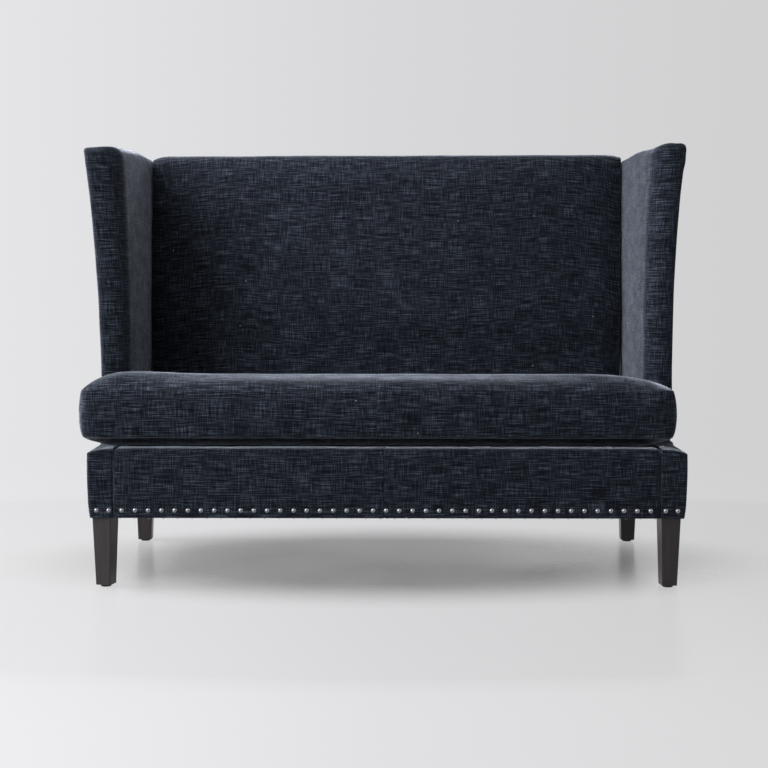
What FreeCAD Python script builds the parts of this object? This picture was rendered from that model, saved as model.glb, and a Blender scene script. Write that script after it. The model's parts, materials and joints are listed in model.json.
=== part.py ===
# High back settee: a hardwood frame on four tapered legs, upholstered all over in slubbed velvet,
# with two flared wings, a nailed front, and one loose T-shaped seat cushion.
# Millimetres. +X is the right-hand side seen from in front, +Y runs from front to back, +Z is up.
# The origin is on the floor, below the middle of the whole settee.
# Depths in the sheet are measured back from the front face of the front rail's cover.
import FreeCAD
import Part
import Sketcher
import math
import os
import re

Vector = FreeCAD.Vector

DIMENSIONS = [
    ("front_face", -365.0, "place of the front rail cover's face along Y"),
    ("base_bottom", 167.0, "lower edge of the nailed covers above the floor"),
    ("base_top", 329.0, "top of the front rail cover and of the facings"),
    ("foot_half", 693.5, "half width of the base at its lower edge"),
    ("nail_half", 697.0, "half width of the base at the nail row"),
    ("bow_half", 701.0, "half width of the base where its padding bows out most"),
    ("facing_inner", 640.3, "inner side of a facing, at the groove beside the front panel"),
    ("panel_half", 637.8, "half width of the front rail cover"),
    ("panel_roll", 22.0, "radius of the front rail cover's top roll"),
    ("panel_bend", 25.0, "easing of the face above the nail row"),
    ("panel_end_round", 5.0, "rounding of the front rail cover's ends"),
    ("facing_roll", 14.0, "radius of a facing's top and outer edges"),
    ("facing_inner_round", 6.0, "rounding of a facing beside the front panel"),
    ("pad_depth", 18.0, "padding in front of the front rail"),
    ("nail_recess", 3.0, "how far the nails pull the cover in"),
    ("wood_bottom", 169.0, "underside of the seat rails"),
    ("rail_top", 300.0, "top of the seat rails"),
    ("rail_thick", 30.0, "thickness of every seat rail, back rail and wing post"),
    ("side_outer", 692.0, "outer face of a side rail from the middle"),
    ("post_inner", 662.0, "inner face of a back post from the middle"),
    ("post_depth", 50.0, "depth of a back post"),
    ("rear_foot", 703.0, "depth of the outside back at its lower edge"),
    ("back_slope", 0.0447, "rake of the outside back, millimetres of depth for each of height"),
    ("cover_thick", 6.0, "outside covers with their backing"),
    ("frame_top", 1015.0, "top of the back and wing frames"),
    ("top_rail_low", 965.0, "underside of the back's top rail"),
    ("tack_rail_low", 332.0, "underside of the tacking rails above the seat"),
    ("tack_rail_high", 375.0, "top of the tacking rails above the seat"),
    ("stile_half", 20.0, "half width of the back's centre stile"),
    ("cross_low", 190.0, "underside of the seat's cross rail"),
    ("cross_high", 280.0, "top of the seat's cross rail"),
    ("cross_half", 22.0, "half width of the seat's cross rail"),
    ("block_leg", 60.0, "length of a corner block along each rail"),
    ("block_low", 169.0, "underside of a corner block"),
    ("block_high", 239.0, "top of a corner block"),
    ("block_screw", 2.0, "shank radius of a corner block screw"),
    ("block_screw_head", 4.2, "head radius of a corner block screw"),
    ("block_screw_head_high", 3.0, "height of a corner block screw's head"),
    ("block_screw_long", 42.0, "shank length of a corner block screw"),
    ("block_screw_bite", 22.0, "how far a corner block screw bites into a rail"),
    ("block_screw_away", 24.0, "distance of a corner block screw from its corner"),
    ("block_screw_step", 28.0, "height between a corner block's two screws"),
    ("leg_half_span", 664.0, "leg centres from the middle"),
    ("leg_front_depth", 38.0, "depth of the front legs' centres"),
    ("leg_rear_depth", 658.0, "depth of the rear legs' centres"),
    ("leg_top_side", 46.5, "square of a leg at its top"),
    ("leg_foot_side", 36.0, "square of a leg at its foot"),
    ("leg_top_level", 166.5, "top of a leg above the floor"),
    ("leg_edge", 1.4, "chamfer along a leg's edges"),
    ("glide_edge", 1.0, "chamfer round a glide"),
    ("glide_high", 5.0, "thickness of a glide"),
    ("glide_radius", 12.0, "radius of a glide"),
    ("glide_nail", 1.6, "radius of a glide's nail"),
    ("glide_nail_long", 16.0, "length of a glide's nail"),
    ("plate_side", 40.0, "square of a leg plate"),
    ("plate_thick", 2.5, "thickness of a leg plate"),
    ("boss_radius", 5.2, "outer radius of a leg plate's threaded boss"),
    ("boss_high", 10.0, "height of a leg plate's threaded boss"),
    ("bolt_radius", 4.0, "radius of an M8 hanger bolt"),
    ("bolt_in_leg", 42.0, "length of a hanger bolt inside the leg"),
    ("bolt_in_frame", 20.0, "length of a hanger bolt above the leg"),
    ("plate_screw_step", 28.0, "spacing of a leg plate's screws"),
    ("plate_screw", 1.9, "shank radius of a leg plate's screw"),
    ("plate_screw_head", 3.6, "head radius of a leg plate's screw"),
    ("plate_screw_long", 16.0, "length of a leg plate's screw"),
    ("turn_front_left", -15.0, "turn of the front left leg on its bolt, degrees"),
    ("turn_front_right", 5.0, "turn of the front right leg on its bolt, degrees"),
    ("wing_front", 190.0, "depth of the wings' front edges"),
    ("wing_seam", 222.0, "depth where a wing's roll meets the outside side cover"),
    ("wing_top", 1048.0, "top of the wings"),
    ("wing_out", 698.0, "half width over the wings above the seat"),
    ("wing_flare", 30.0, "how far the wings' front edges flare out at the top"),
    ("wing_flare_from", 480.0, "height where the outer flare starts"),
    ("wing_flare_full", 1020.0, "height where the outer flare is full"),
    ("wing_flare_power", 2.6, "how late the outer flare comes"),
    ("wing_out_rear", 700.0, "half width over the wings at the back"),
    ("wing_in", 631.0, "half width between the wings at their front edges"),
    ("wing_in_flare", 17.0, "how far the wings' inner faces open at the top front"),
    ("wing_in_from", 600.0, "height where the inner flare starts"),
    ("wing_in_rear", 635.5, "half width between the wings at the back"),
    ("wing_roll_in", 22.0, "radius of a wing's front roll, inner side"),
    ("wing_roll_out", 25.0, "radius of a wing's front roll, outer side"),
    ("wing_roll_top", 26.0, "radius of a wing's top roll"),
    ("wing_rear_round", 6.0, "rounding of a wing's rear edges"),
    ("wing_post_deep", 45.0, "depth of a wing post"),
    ("board_play", 0.5, "play between the wing boards and the outside covers"),
    ("post_play", 2.0, "play in front of a back post"),
    ("roll_step", 0.2, "how far the side covers stand outside the wings' rolls"),
    ("fit_gap", 0.3, "play between a cover and what it wraps"),
    ("back_seat_depth", 545.0, "depth of the inside back at the seat deck"),
    ("back_lean", 0.1327, "rake of the inside back"),
    ("back_crest", 1053.0, "top of the back at its middle"),
    ("back_crest_end", 1040.0, "top of the back where it meets a wing"),
    ("back_pad_half", 633.2, "half width of the inside back pad"),
    ("back_end_round", 10.0, "rounding of the inside back towards the wings"),
    ("back_foot_round", 6.0, "rounding of the inside back at the seat"),
    ("crest_roll_front", 30.0, "radius of the back's top roll, front side"),
    ("crest_roll_rear", 26.0, "radius of the back's top roll, rear side"),
    ("crest_roll_end", 14.0, "radius of the same roll where it meets a wing"),
    ("web_thick", 1.5, "thickness of the back webbing"),
    ("web_wide", 50.0, "width of the back webbing"),
    ("web_step", 150.0, "spacing of the back webbing"),
    ("wire_radius", 1.9, "radius of the seat spring wire"),
    ("wire_level", 303.0, "height of the seat springs' wire above the floor"),
    ("spring_step", 125.0, "spacing of the seat springs"),
    ("spring_bar_half", 14.0, "half length of a seat spring's straight bars"),
    ("spring_front", 33.0, "depth of the seat springs' front clips"),
    ("spring_rear", 688.0, "depth of the seat springs' rear clips"),
    ("clip_wide", 12.0, "width of a spring clip"),
    ("clip_thick", 1.0, "metal thickness of a spring clip"),
    ("clip_tail", 12.0, "length of a spring clip's flat tail"),
    ("deck_half", 638.0, "half width of the seat deck"),
    ("deck_front", 62.6, "depth of the seat deck's front edge"),
    ("deck_rear", 657.0, "depth of the seat deck's rear edge"),
    ("hessian_low", 305.0, "underside of the hessian on the springs"),
    ("hessian_thick", 1.0, "thickness of the hessian"),
    ("deck_pad_thick", 21.3, "thickness of the deck padding"),
    ("deck_cloth_thick", 1.5, "thickness of the deck cloth"),
    ("dust_low", 167.4, "underside of the dust cover"),
    ("dust_thick", 1.2, "thickness of the dust cover"),
    ("dust_inset", 2.0, "how far the dust cover stays inside the frame"),
    ("dust_notch", 31.0, "half width of the dust cover's cut-outs round the legs"),
    ("nail_level", 185.0, "height of the nail row"),
    ("nail_head", 6.2, "radius of a nail head"),
    ("nail_dome", 3.4, "height of a nail head"),
    ("nail_shank", 0.9, "radius of a nail shank"),
    ("nail_long", 24.0, "length of a nail shank"),
    ("nail_step", 30.9, "pitch of the nails on the front panel"),
    ("nail_first", -620.5, "place of the first nail on the front panel"),
    ("facing_nail_one", 651.0, "first nail of a facing from the middle"),
    ("facing_nail_two", 679.5, "second nail of a facing from the middle"),
    ("cushion_half", 705.5, "half width of the cushion over its ears"),
    ("cushion_shift", -22.0, "how far the cushion lies to the left"),
    ("neck_half", 619.0, "half width of the cushion between the wings"),
    ("neck_shift", -8.0, "how far the cushion's neck lies to the left"),
    ("cushion_nose", -12.0, "depth of the cushion's front"),
    ("ear_rear", 183.0, "depth of the rear of the cushion's ears"),
    ("cushion_rear", 543.0, "depth of the cushion's rear"),
    ("cushion_low", 329.4, "underside of the cushion"),
    ("cushion_seam_low", 356.0, "height of the cushion's lower seam"),
    ("cushion_seam_high", 466.0, "height of the cushion's upper seam"),
    ("cushion_crown", 500.0, "height of the cushion's crown"),
    ("ear_round", 26.0, "rounding of the cushion's front corners"),
    ("ear_rear_round", 22.0, "rounding of the ears' rear corners"),
    ("neck_round", 14.0, "rounding where the ears meet the neck"),
    ("rear_round", 24.0, "rounding of the cushion's rear corners"),
    ("cushion_seam_pull", 6.0, "how far the seams draw the cushion's sides in"),
    ("cushion_tilt", 2.3, "fall of the cushion's top towards the back, degrees"),
    ("cushion_cover_thick", 3.0, "thickness of the cushion's cover and wrap"),
    ("zip_half", 520.0, "half length of the cushion's zip"),
    ("zip_wide", 26.0, "width of the zip tape"),
    ("zip_level", 408.0, "height of the zip"),
    ("zip_thick", 1.2, "thickness of the zip tape"),
    ("zip_stand", 0.5, "gap between the cushion's rear and the zip tape"),
    ("zip_teeth_high", 0.8, "height of the zip's coil on its tape"),
    ("zip_teeth_wide", 4.0, "width of the zip's coil"),
    ("zip_slider_from", 3.0, "distance of the zip slider from the tape's left end"),
    ("zip_slider_long", 11.0, "length of the zip slider"),
    ("zip_slider_wide", 9.0, "width of the zip slider"),
    ("zip_slider_thick", 2.0, "thickness of the zip slider"),
    ("zip_tab_wide", 6.0, "width of the zip slider's pull tab"),
    ("zip_tab_thick", 1.1, "thickness of the pull tab"),
    ("zip_tab_long", 29.0, "length of the pull tab"),
    ("zip_tab_top", 3.0, "how far the pull tab starts below the zip's middle"),
]

SPRING_COUNT = 10
SPRING_TURNS = 24
WEB_COUNT = 8
FRONT_NAILS = 41
SIDES = (("left", -1), ("right", 1))
LEGS = (
    ("front_left", -1, "leg_front_depth"),
    ("front_right", 1, "leg_front_depth"),
    ("rear_left", -1, "leg_rear_depth"),
    ("rear_right", 1, "leg_rear_depth"),
)

doc = FreeCAD.newDocument("Settee")
sheet = doc.addObject("Spreadsheet::Sheet", "Sizes")
for row, (alias, value, note) in enumerate(DIMENSIONS, start=1):
    sheet.set(f"A{row}", note)
    sheet.set(f"B{row}", str(value))
    sheet.setAlias(f"B{row}", alias)
doc.recompute()

NAMES = re.compile(r"\b[a-z]+_[a-z_]+\b")
subparts = []


def size(alias):
    """A driving dimension as a number."""
    return float(sheet.get(alias))


def bind(item, prop, formula):
    """Tie a property to the sheet; every word with an underscore is an alias."""
    item.setExpression(prop, NAMES.sub(lambda word: "Sizes." + word.group(0), formula))


def place(item, across, depth, level):
    """Put an object at formulas for its place; the depth counts from the front face."""
    bind(item, "Placement.Base.x", across)
    bind(item, "Placement.Base.y", f"front_face + {depth}")
    bind(item, "Placement.Base.z", level)


def keep(item, name):
    """Name a finished sub-part."""
    item.Label = name
    subparts.append(item)
    return item


def box(name, across, depth, level, wide, deep, high):
    """A rectangular block from formulas for its low corner and its sizes."""
    item = doc.addObject("Part::Box", name)
    bind(item, "Length", wide)
    bind(item, "Width", deep)
    bind(item, "Height", high)
    place(item, across, depth, level)
    return item


def cylinder(name, radius, high, across, depth, level):
    """An upright round bar from formulas."""
    item = doc.addObject("Part::Cylinder", name)
    bind(item, "Radius", radius)
    bind(item, "Height", high)
    place(item, across, depth, level)
    return item


def rear_line(level, inset):
    """Formula for the depth of the raked rear face at a height, less an inset."""
    return f"rear_foot + ({level} - base_bottom) * back_slope - ({inset})"


def rear_depth(level, inset=0.0):
    """The same depth as a number in the settee's own frame."""
    rise = level - size("base_bottom")
    return size("front_face") + size("rear_foot") + rise * size("back_slope") - inset


def polygon_sketch(body, name, role, corners):
    """A closed sketch whose corners are held by formulas, on one of the body's own planes."""
    plane = next(item for item in body.Origin.OriginFeatures if item.Role == role)
    sketch = body.newObject("Sketcher::SketchObject", name)
    sketch.AttachmentSupport = [(plane, "")]
    sketch.MapMode = "FlatFace"
    count = len(corners)
    turns = [2 * math.pi * k / count for k in range(count)]
    start = [Vector(math.cos(turn), math.sin(turn)) for turn in turns]
    for k in range(count):
        sketch.addGeometry(Part.LineSegment(start[k], start[(k + 1) % count]), False)
    for k in range(count):
        sketch.addConstraint(Sketcher.Constraint("Coincident", k, 2, (k + 1) % count, 1))
    for k, (first, second) in enumerate(corners):
        across = sketch.addConstraint(Sketcher.Constraint("DistanceX", -1, 1, k, 1, start[k].x))
        bind(sketch, f"Constraints[{across}]", first)
        up = sketch.addConstraint(Sketcher.Constraint("DistanceY", -1, 1, k, 1, start[k].y))
        bind(sketch, f"Constraints[{up}]", second)
    return sketch


def side_prism(name, corners, across, thick):
    """A body sawn to a side-view outline of (depth, level) formulas, thick along X."""
    body = doc.addObject("PartDesign::Body", name)
    outline = [(f"front_face + {depth}", level) for depth, level in corners]
    sketch = polygon_sketch(body, name + "_outline", "YZ_Plane", outline)
    pad = body.newObject("PartDesign::Pad", name + "_pad")
    pad.Profile = sketch
    bind(pad, "Length", thick)
    bind(body, "Placement.Base.x", across)
    return body


def cut_by(name, base, tools):
    """A base less each of the tools in turn."""
    for number, tool in enumerate(tools):
        cut = doc.addObject("Part::Cut", f"{name}_cut_{number}")
        cut.Base = base
        cut.Tool = tool
        base = cut
    return base


def fused(name, base, tool):
    """Two shapes joined into one solid."""
    item = doc.addObject("Part::Fuse", name)
    item.Base = base
    item.Tool = tool
    return item


def group(name, items):
    """Identical pieces together in one sub-part."""
    compound = doc.addObject("Part::Compound", name)
    compound.Links = items
    return compound


def feature(name, shape):
    """A sub-part made from the sheet's values in code."""
    item = doc.addObject("Part::Feature", name)
    item.Shape = shape
    item.Placement = FreeCAD.Placement()
    return item


def rounded_wire(corners, point):
    """A closed wire through (u, v, radius) corners: straight runs with an arc at each radius."""
    runs = []
    count = len(corners)
    for k in range(count):
        here = Vector(corners[k][0], corners[k][1])
        radius = corners[k][2]
        back = (Vector(corners[k - 1][0], corners[k - 1][1]) - here).normalize()
        ahead = (Vector(corners[(k + 1) % count][0], corners[(k + 1) % count][1]) - here).normalize()
        if radius == 0:
            runs.append((here, None, here))
            continue
        half = back.getAngle(ahead) / 2
        middle = (back + ahead).normalize()
        reach = radius / math.tan(half)
        apex = here + middle * (radius / math.sin(half) - radius)
        runs.append((here + back * reach, apex, here + ahead * reach))
    edges = []
    for k in range(count):
        first, apex, last = runs[k]
        if apex:
            edges.append(Part.Arc(point(first), point(apex), point(last)).toShape())
        edges.append(Part.LineSegment(point(last), point(runs[(k + 1) % count][0])).toShape())
    return Part.Wire(edges)


def plan_wire(level, corners):
    """A horizontal section from (x, depth, radius) corners."""
    return rounded_wire(corners, lambda spot: Vector(spot.x, size("front_face") + spot.y, level))


def side_wire(across, corners):
    """An upright section along the depth from (depth, level, radius) corners."""
    return rounded_wire(corners, lambda spot: Vector(across, size("front_face") + spot.x, spot.y))


def loft(wires, ruled=False):
    """A closed solid through the wires."""
    return Part.makeLoft(wires, True, ruled)


def mirrored(shape, side):
    """The shape itself on the right, its mirror image on the left."""
    if side > 0:
        return shape
    return shape.mirror(Vector(0, 0, 0), Vector(1, 0, 0))


# Fasteners come first, because the timber is drilled to them.


def make_bolts():
    bolts = []
    for name, side, depth in LEGS:
        bolts.append(cylinder("bolt_" + name, "bolt_radius", "bolt_in_leg + bolt_in_frame",
                              f"{side} * leg_half_span", depth, "leg_top_level - bolt_in_leg"))
    return keep(group("hanger_bolts_group", bolts), "leg_hanger_bolts")


def make_plate_screws():
    screws = []
    for name, side, depth in LEGS:
        for number, (across, along) in enumerate(((-0.5, -0.5), (0.5, -0.5), (-0.5, 0.5), (0.5, 0.5))):
            x = f"{side} * leg_half_span + {across} * plate_screw_step"
            y = f"{depth} + {along} * plate_screw_step"
            label = f"plate_screw_{name}_{number}"
            head = doc.addObject("Part::Cone", label + "_head")
            bind(head, "Radius1", "plate_screw_head")
            bind(head, "Radius2", "plate_screw")
            bind(head, "Height", "plate_thick")
            place(head, x, y, "leg_top_level")
            shank = cylinder(label + "_shank", "plate_screw", "plate_screw_long", x, y, "leg_top_level")
            screws.append(fused(label, head, shank))
    return keep(group("plate_screws_group", screws), "leg_plate_screws")


def make_plates(bolts, screws):
    plates = []
    for name, side, depth in LEGS:
        middle = f"{side} * leg_half_span"
        sheet_metal = box("plate_" + name, f"{middle} - plate_side / 2", f"{depth} - plate_side / 2",
                          "leg_top_level", "plate_side", "plate_side", "plate_thick")
        boss = cylinder("boss_" + name, "boss_radius", "boss_high", middle, depth,
                        "leg_top_level + plate_thick")
        plates.append(fused("plate_with_boss_" + name, sheet_metal, boss))
    blank = group("leg_plates_blank", plates)
    return keep(cut_by("leg_plates", blank, [bolts, screws]), "leg_plates")


def make_glides():
    glides = []
    for name, side, depth in LEGS:
        middle = f"{side} * leg_half_span"
        disc = cylinder("glide_disc_" + name, "glide_radius", "glide_high", middle, depth, "0")
        edge = doc.addObject("Part::Chamfer", "glide_edge_" + name)
        edge.Base = disc
        edge.Edges = [(rim, size("glide_edge"), size("glide_edge")) for rim in (1, 3)]
        nail = cylinder("glide_nail_" + name, "glide_nail", "glide_nail_long", middle, depth, "glide_high")
        glides.append(fused("glide_" + name, edge, nail))
    return keep(group("glides_group", glides), "leg_glides")


def make_nails():
    """Domed nails along the front, each with its shank through the cover into the timber."""
    spots = [size("nail_first") + k * size("nail_step") for k in range(FRONT_NAILS)]
    for side in (-1, 1):
        spots += [side * size("facing_nail_one"), side * size("facing_nail_two")]
    radius, dome = size("nail_head"), size("nail_dome")
    shank, long = size("nail_shank"), size("nail_long")
    bend = (radius ** 2 + dome ** 2) / (2 * dome)
    half = math.asin(radius / bend) / 2
    apex = Vector(bend * math.sin(half), bend - dome - bend * math.cos(half))
    seat = size("front_face") + size("nail_recess") + size("fit_gap")
    outline = Part.Wire([
        Part.Arc(Vector(0, -dome), apex, Vector(radius, 0)).toShape(),
        Part.makePolygon([Vector(radius, 0), Vector(shank, 0), Vector(shank, long), Vector(0, long),
                          Vector(0, -dome)]),
    ])
    turned = Part.Face(outline).revolve(Vector(0, 0, 0), Vector(0, 1, 0), 360)
    nails = []
    for x in sorted(spots):
        nails.append(turned.translated(Vector(x, seat, size("nail_level"))))
    return keep(feature("nail_heads_shape", Part.makeCompound(nails)), "nail_heads")


def block_corners():
    """Each corner block's inner corner and the way its two faces run."""
    front = size("pad_depth") + size("rail_thick")
    middle = (size("block_low") + size("block_high")) / 2
    rear = rear_depth(middle, size("cover_thick") + size("rail_thick")) - size("front_face")
    inner = size("side_outer") - size("rail_thick")
    return [(side * inner, depth, -side, along)
            for side in (-1, 1) for depth, along in ((front, 1), (rear, -1))]


def make_block_screws():
    """Two screws through each corner block, one into each rail, with their heads let in."""
    screws, bores = [], []
    middle, half = (size("block_low") + size("block_high")) / 2, size("block_screw_step") / 2
    away, bite = size("block_screw_away"), size("block_screw_bite")
    long, radius = size("block_screw_long"), size("block_screw_head")
    for x, depth, across, along in block_corners():
        y = size("front_face") + depth
        into_rail = Vector(x + across * away, y - along * bite, middle + half)
        into_side = Vector(x - across * bite, y + along * away, middle - half)
        for tip, axis in ((into_rail, Vector(0, along, 0)), (into_side, Vector(across, 0, 0))):
            shank = Part.makeCylinder(size("block_screw"), long, tip, axis)
            head = Part.makeCylinder(radius, size("block_screw_head_high"), tip + axis * long, axis)
            screws.append(shank.fuse(head).removeSplitter())
            bores.append(Part.makeCylinder(radius, size("block_leg"), tip + axis * long, axis))
    item = keep(feature("block_screws_shape", Part.makeCompound(screws)), "corner_block_screws")
    return item, feature("block_screw_bores", Part.makeCompound(bores))


bolts = make_bolts()
plate_screws = make_plate_screws()
plates = make_plates(bolts, plate_screws)
glides = make_glides()
nails = make_nails()
block_screws, block_bores = make_block_screws()

# Timber of the seat.


def make_seat_frame():
    rail = side_prism("front_rail_blank", [
        ("pad_depth", "wood_bottom"),
        ("pad_depth + rail_thick", "wood_bottom"),
        ("pad_depth + rail_thick", "rail_top"),
        ("pad_depth", "rail_top"),
    ], "-1 * side_outer", "2 * side_outer")
    keep(cut_by("front_rail", rail, [bolts, plates, plate_screws, nails, block_screws]), "front_seat_rail")

    rail = side_prism("rear_rail_blank", [
        (rear_line("wood_bottom", "cover_thick + rail_thick"), "wood_bottom"),
        (rear_line("wood_bottom", "cover_thick"), "wood_bottom"),
        (rear_line("rail_top", "cover_thick"), "rail_top"),
        (rear_line("rail_top", "cover_thick + rail_thick"), "rail_top"),
    ], "-1 * post_inner", "2 * post_inner")
    keep(cut_by("rear_rail", rail, [plate_screws, block_screws]), "rear_seat_rail")

    for name, side in SIDES:
        across = "side_outer - rail_thick" if side > 0 else "-1 * side_outer"
        rail = side_prism(f"side_rail_blank_{name}", [
            ("pad_depth + rail_thick", "wood_bottom"),
            (rear_line("wood_bottom", "cover_thick + post_depth"), "wood_bottom"),
            (rear_line("rail_top", "cover_thick + post_depth"), "rail_top"),
            ("pad_depth + rail_thick", "rail_top"),
        ], across, "rail_thick")
        keep(cut_by("side_rail_" + name, rail, [plate_screws, block_screws]), "side_seat_rail_" + name)

    rail = side_prism("cross_rail_body", [
        ("pad_depth + rail_thick", "cross_low"),
        (rear_line("cross_low", "cover_thick + rail_thick"), "cross_low"),
        (rear_line("cross_high", "cover_thick + rail_thick"), "cross_high"),
        ("pad_depth + rail_thick", "cross_high"),
    ], "-1 * cross_half", "2 * cross_half")
    keep(rail, "seat_cross_rail")


def make_corner_blocks():
    """Triangular blocks glued and screwed into the seat frame's corners."""
    blocks = []
    low, high, leg = size("block_low"), size("block_high"), size("block_leg")
    for x, depth, across, along in block_corners():
        y = size("front_face") + depth
        wire = Part.makePolygon([
            Vector(x, y, low),
            Vector(x + across * leg, y, low),
            Vector(x, y + along * leg, low),
            Vector(x, y, low),
        ])
        blocks.append(Part.Face(wire).extrude(Vector(0, 0, high - low)))
    blank = feature("corner_blocks_blank", Part.makeCompound(blocks))
    trimmed = cut_by("corner_blocks", blank, [
        rear_rail_space(), bolts, plates, plate_screws, block_screws, block_bores])
    return keep(trimmed, "corner_blocks")


def rear_rail_space():
    """The raked room of the rear rail, which the rear corner blocks are sawn to."""
    return side_prism("rear_rail_room", [
        (rear_line("wood_bottom", "cover_thick + rail_thick"), "wood_bottom"),
        (rear_line("wood_bottom", "0"), "wood_bottom"),
        (rear_line("rail_top", "0"), "rail_top"),
        (rear_line("rail_top", "cover_thick + rail_thick"), "rail_top"),
    ], "-1 * side_outer", "2 * side_outer")


make_seat_frame()
make_corner_blocks()

# Timber of the back.


def raked_bar(name, low, high, across, wide, deep):
    """A bar of the back frame, flush with the rear of the posts."""
    return side_prism(name, [
        (rear_line(low, f"cover_thick + {deep}"), low),
        (rear_line(low, "cover_thick"), low),
        (rear_line(high, "cover_thick"), high),
        (rear_line(high, f"cover_thick + {deep}"), high),
    ], across, wide)


def make_back_frame():
    for name, side in SIDES:
        across = "post_inner" if side > 0 else "-1 * (post_inner + rail_thick)"
        post = raked_bar(f"back_post_blank_{name}", "wood_bottom", "frame_top", across, "rail_thick",
                         "post_depth")
        keep(cut_by("back_post_" + name, post, [bolts, plates, plate_screws]), "back_post_" + name)
    across, wide = "-1 * post_inner", "2 * post_inner"
    keep(raked_bar("top_rail_body", "top_rail_low", "frame_top", across, wide, "rail_thick"),
         "back_top_rail")
    keep(raked_bar("tack_rail_body", "tack_rail_low", "tack_rail_high", across, wide, "rail_thick"),
         "back_tacking_rail")
    across, wide = "-1 * stile_half", "2 * stile_half"
    keep(raked_bar("stile_body", "tack_rail_high", "top_rail_low", across, wide, "rail_thick"),
         "back_centre_stile")


make_back_frame()

# Wings. A wing's outer and inner faces are plain at the seat and flare towards the top of its
# front edge; at the back they run straight up.


def wing_out(level):
    """Half width over the wings' front edges at a height."""
    start, full = size("wing_flare_from"), size("wing_flare_full")
    share = min(max((level - start) / (full - start), 0.0), 1.0)
    return size("wing_out") + size("wing_flare") * share ** size("wing_flare_power")


def wing_in(level):
    """Half width between the wings' front edges at a height."""
    start, full = size("wing_in_from"), size("wing_flare_full")
    share = min(max((level - start) / (full - start), 0.0), 1.0)
    return size("wing_in") + size("wing_in_flare") * share ** 2


def wing_levels(low, high):
    """Heights of the wing's sections, closer where it flares."""
    steps = [0.0, 0.2, 0.38, 0.54, 0.68, 0.8, 0.9, 1.0]
    return [low + (high - low) * step for step in steps]


def side_cover_out(level):
    """Half width of the base and wing sides: the base bows, the wing flares."""
    low, nail, bow = size("foot_half"), size("nail_half"), size("bow_half")
    bottom, row, top = size("base_bottom"), size("nail_level"), size("base_top")
    if level <= row:
        return low + (nail - low) * (level - bottom) / (row - bottom)
    if level < top:
        share = (level - row) / (top - row)
        edge = nail + (size("wing_out") - nail) * share
        return edge + (bow - nail) * math.sin(math.pi * share)
    return wing_out(level)


def wing_envelope():
    """The whole right wing, from the facing's top to the rounded top edge."""
    roll, top, step = size("wing_roll_top"), size("wing_top"), size("roll_step")
    bottom = size("base_top") + size("fit_gap")
    rows = [(level, 0.0) for level in wing_levels(bottom, top - roll)]
    for turn in (30, 55, 75, 90):
        angle = math.radians(turn)
        rows.append((top - roll + roll * math.sin(angle), roll * (1 - math.cos(angle))))
    wires = []
    for level, inset in rows:
        rear = rear_depth(level) - size("front_face") - inset
        front = size("wing_front") + inset
        inner, outer = wing_in(level) + inset, wing_out(level) - step - inset
        ease = 1 - 0.7 * inset / roll
        rear_round = size("wing_rear_round") * ease
        wires.append(plan_wire(level, [
            (inner, front, size("wing_roll_in") * ease),
            (outer, front, size("wing_roll_out") * ease),
            (size("wing_out_rear") - step - inset, rear, rear_round),
            (size("wing_in_rear") + inset, rear, rear_round),
        ]))
    return loft(wires, True)


def wing_room(low, high, inner_gap, outer_gap, front, rear_gap):
    """The space behind a wing's padding: boards in front of the post, and the post's own place."""
    boards = size("cover_thick") + size("board_play") + size("rail_thick")
    post = size("cover_thick") + size("post_depth") + size("post_play")
    post_side = size("post_inner") - size("fit_gap") + inner_gap
    wires = []
    for level in [low] + wing_levels(size("base_top"), high):
        rear = rear_depth(level) - size("front_face")
        outer = min(side_cover_out(level), wing_out(level))
        wires.append(plan_wire(level, [
            (outer - boards + inner_gap, front, 0),
            (outer + outer_gap, front, 0),
            (size("wing_out_rear") + outer_gap, rear - rear_gap, 0),
            (post_side, rear - rear_gap, 0),
            (post_side, rear - post, 0),
        ]))
    return loft(wires, True)


def wing_rear_room(past):
    """The place of the back frame's rails behind a wing, open to the rear."""
    inset = size("cover_thick") + size("rail_thick") + size("fit_gap")
    low, high = size("rail_top"), size("frame_top") + size("fit_gap")
    corners = ((low, inset), (low, -past), (high, -past), (high, inset), (low, inset))
    inner, outer = size("deck_half") - past, size("wing_out_rear") + past
    wire = Part.makePolygon([Vector(inner, rear_depth(level, deep), level) for level, deep in corners])
    return Part.Face(wire).extrude(Vector(outer - inner, 0, 0))


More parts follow.
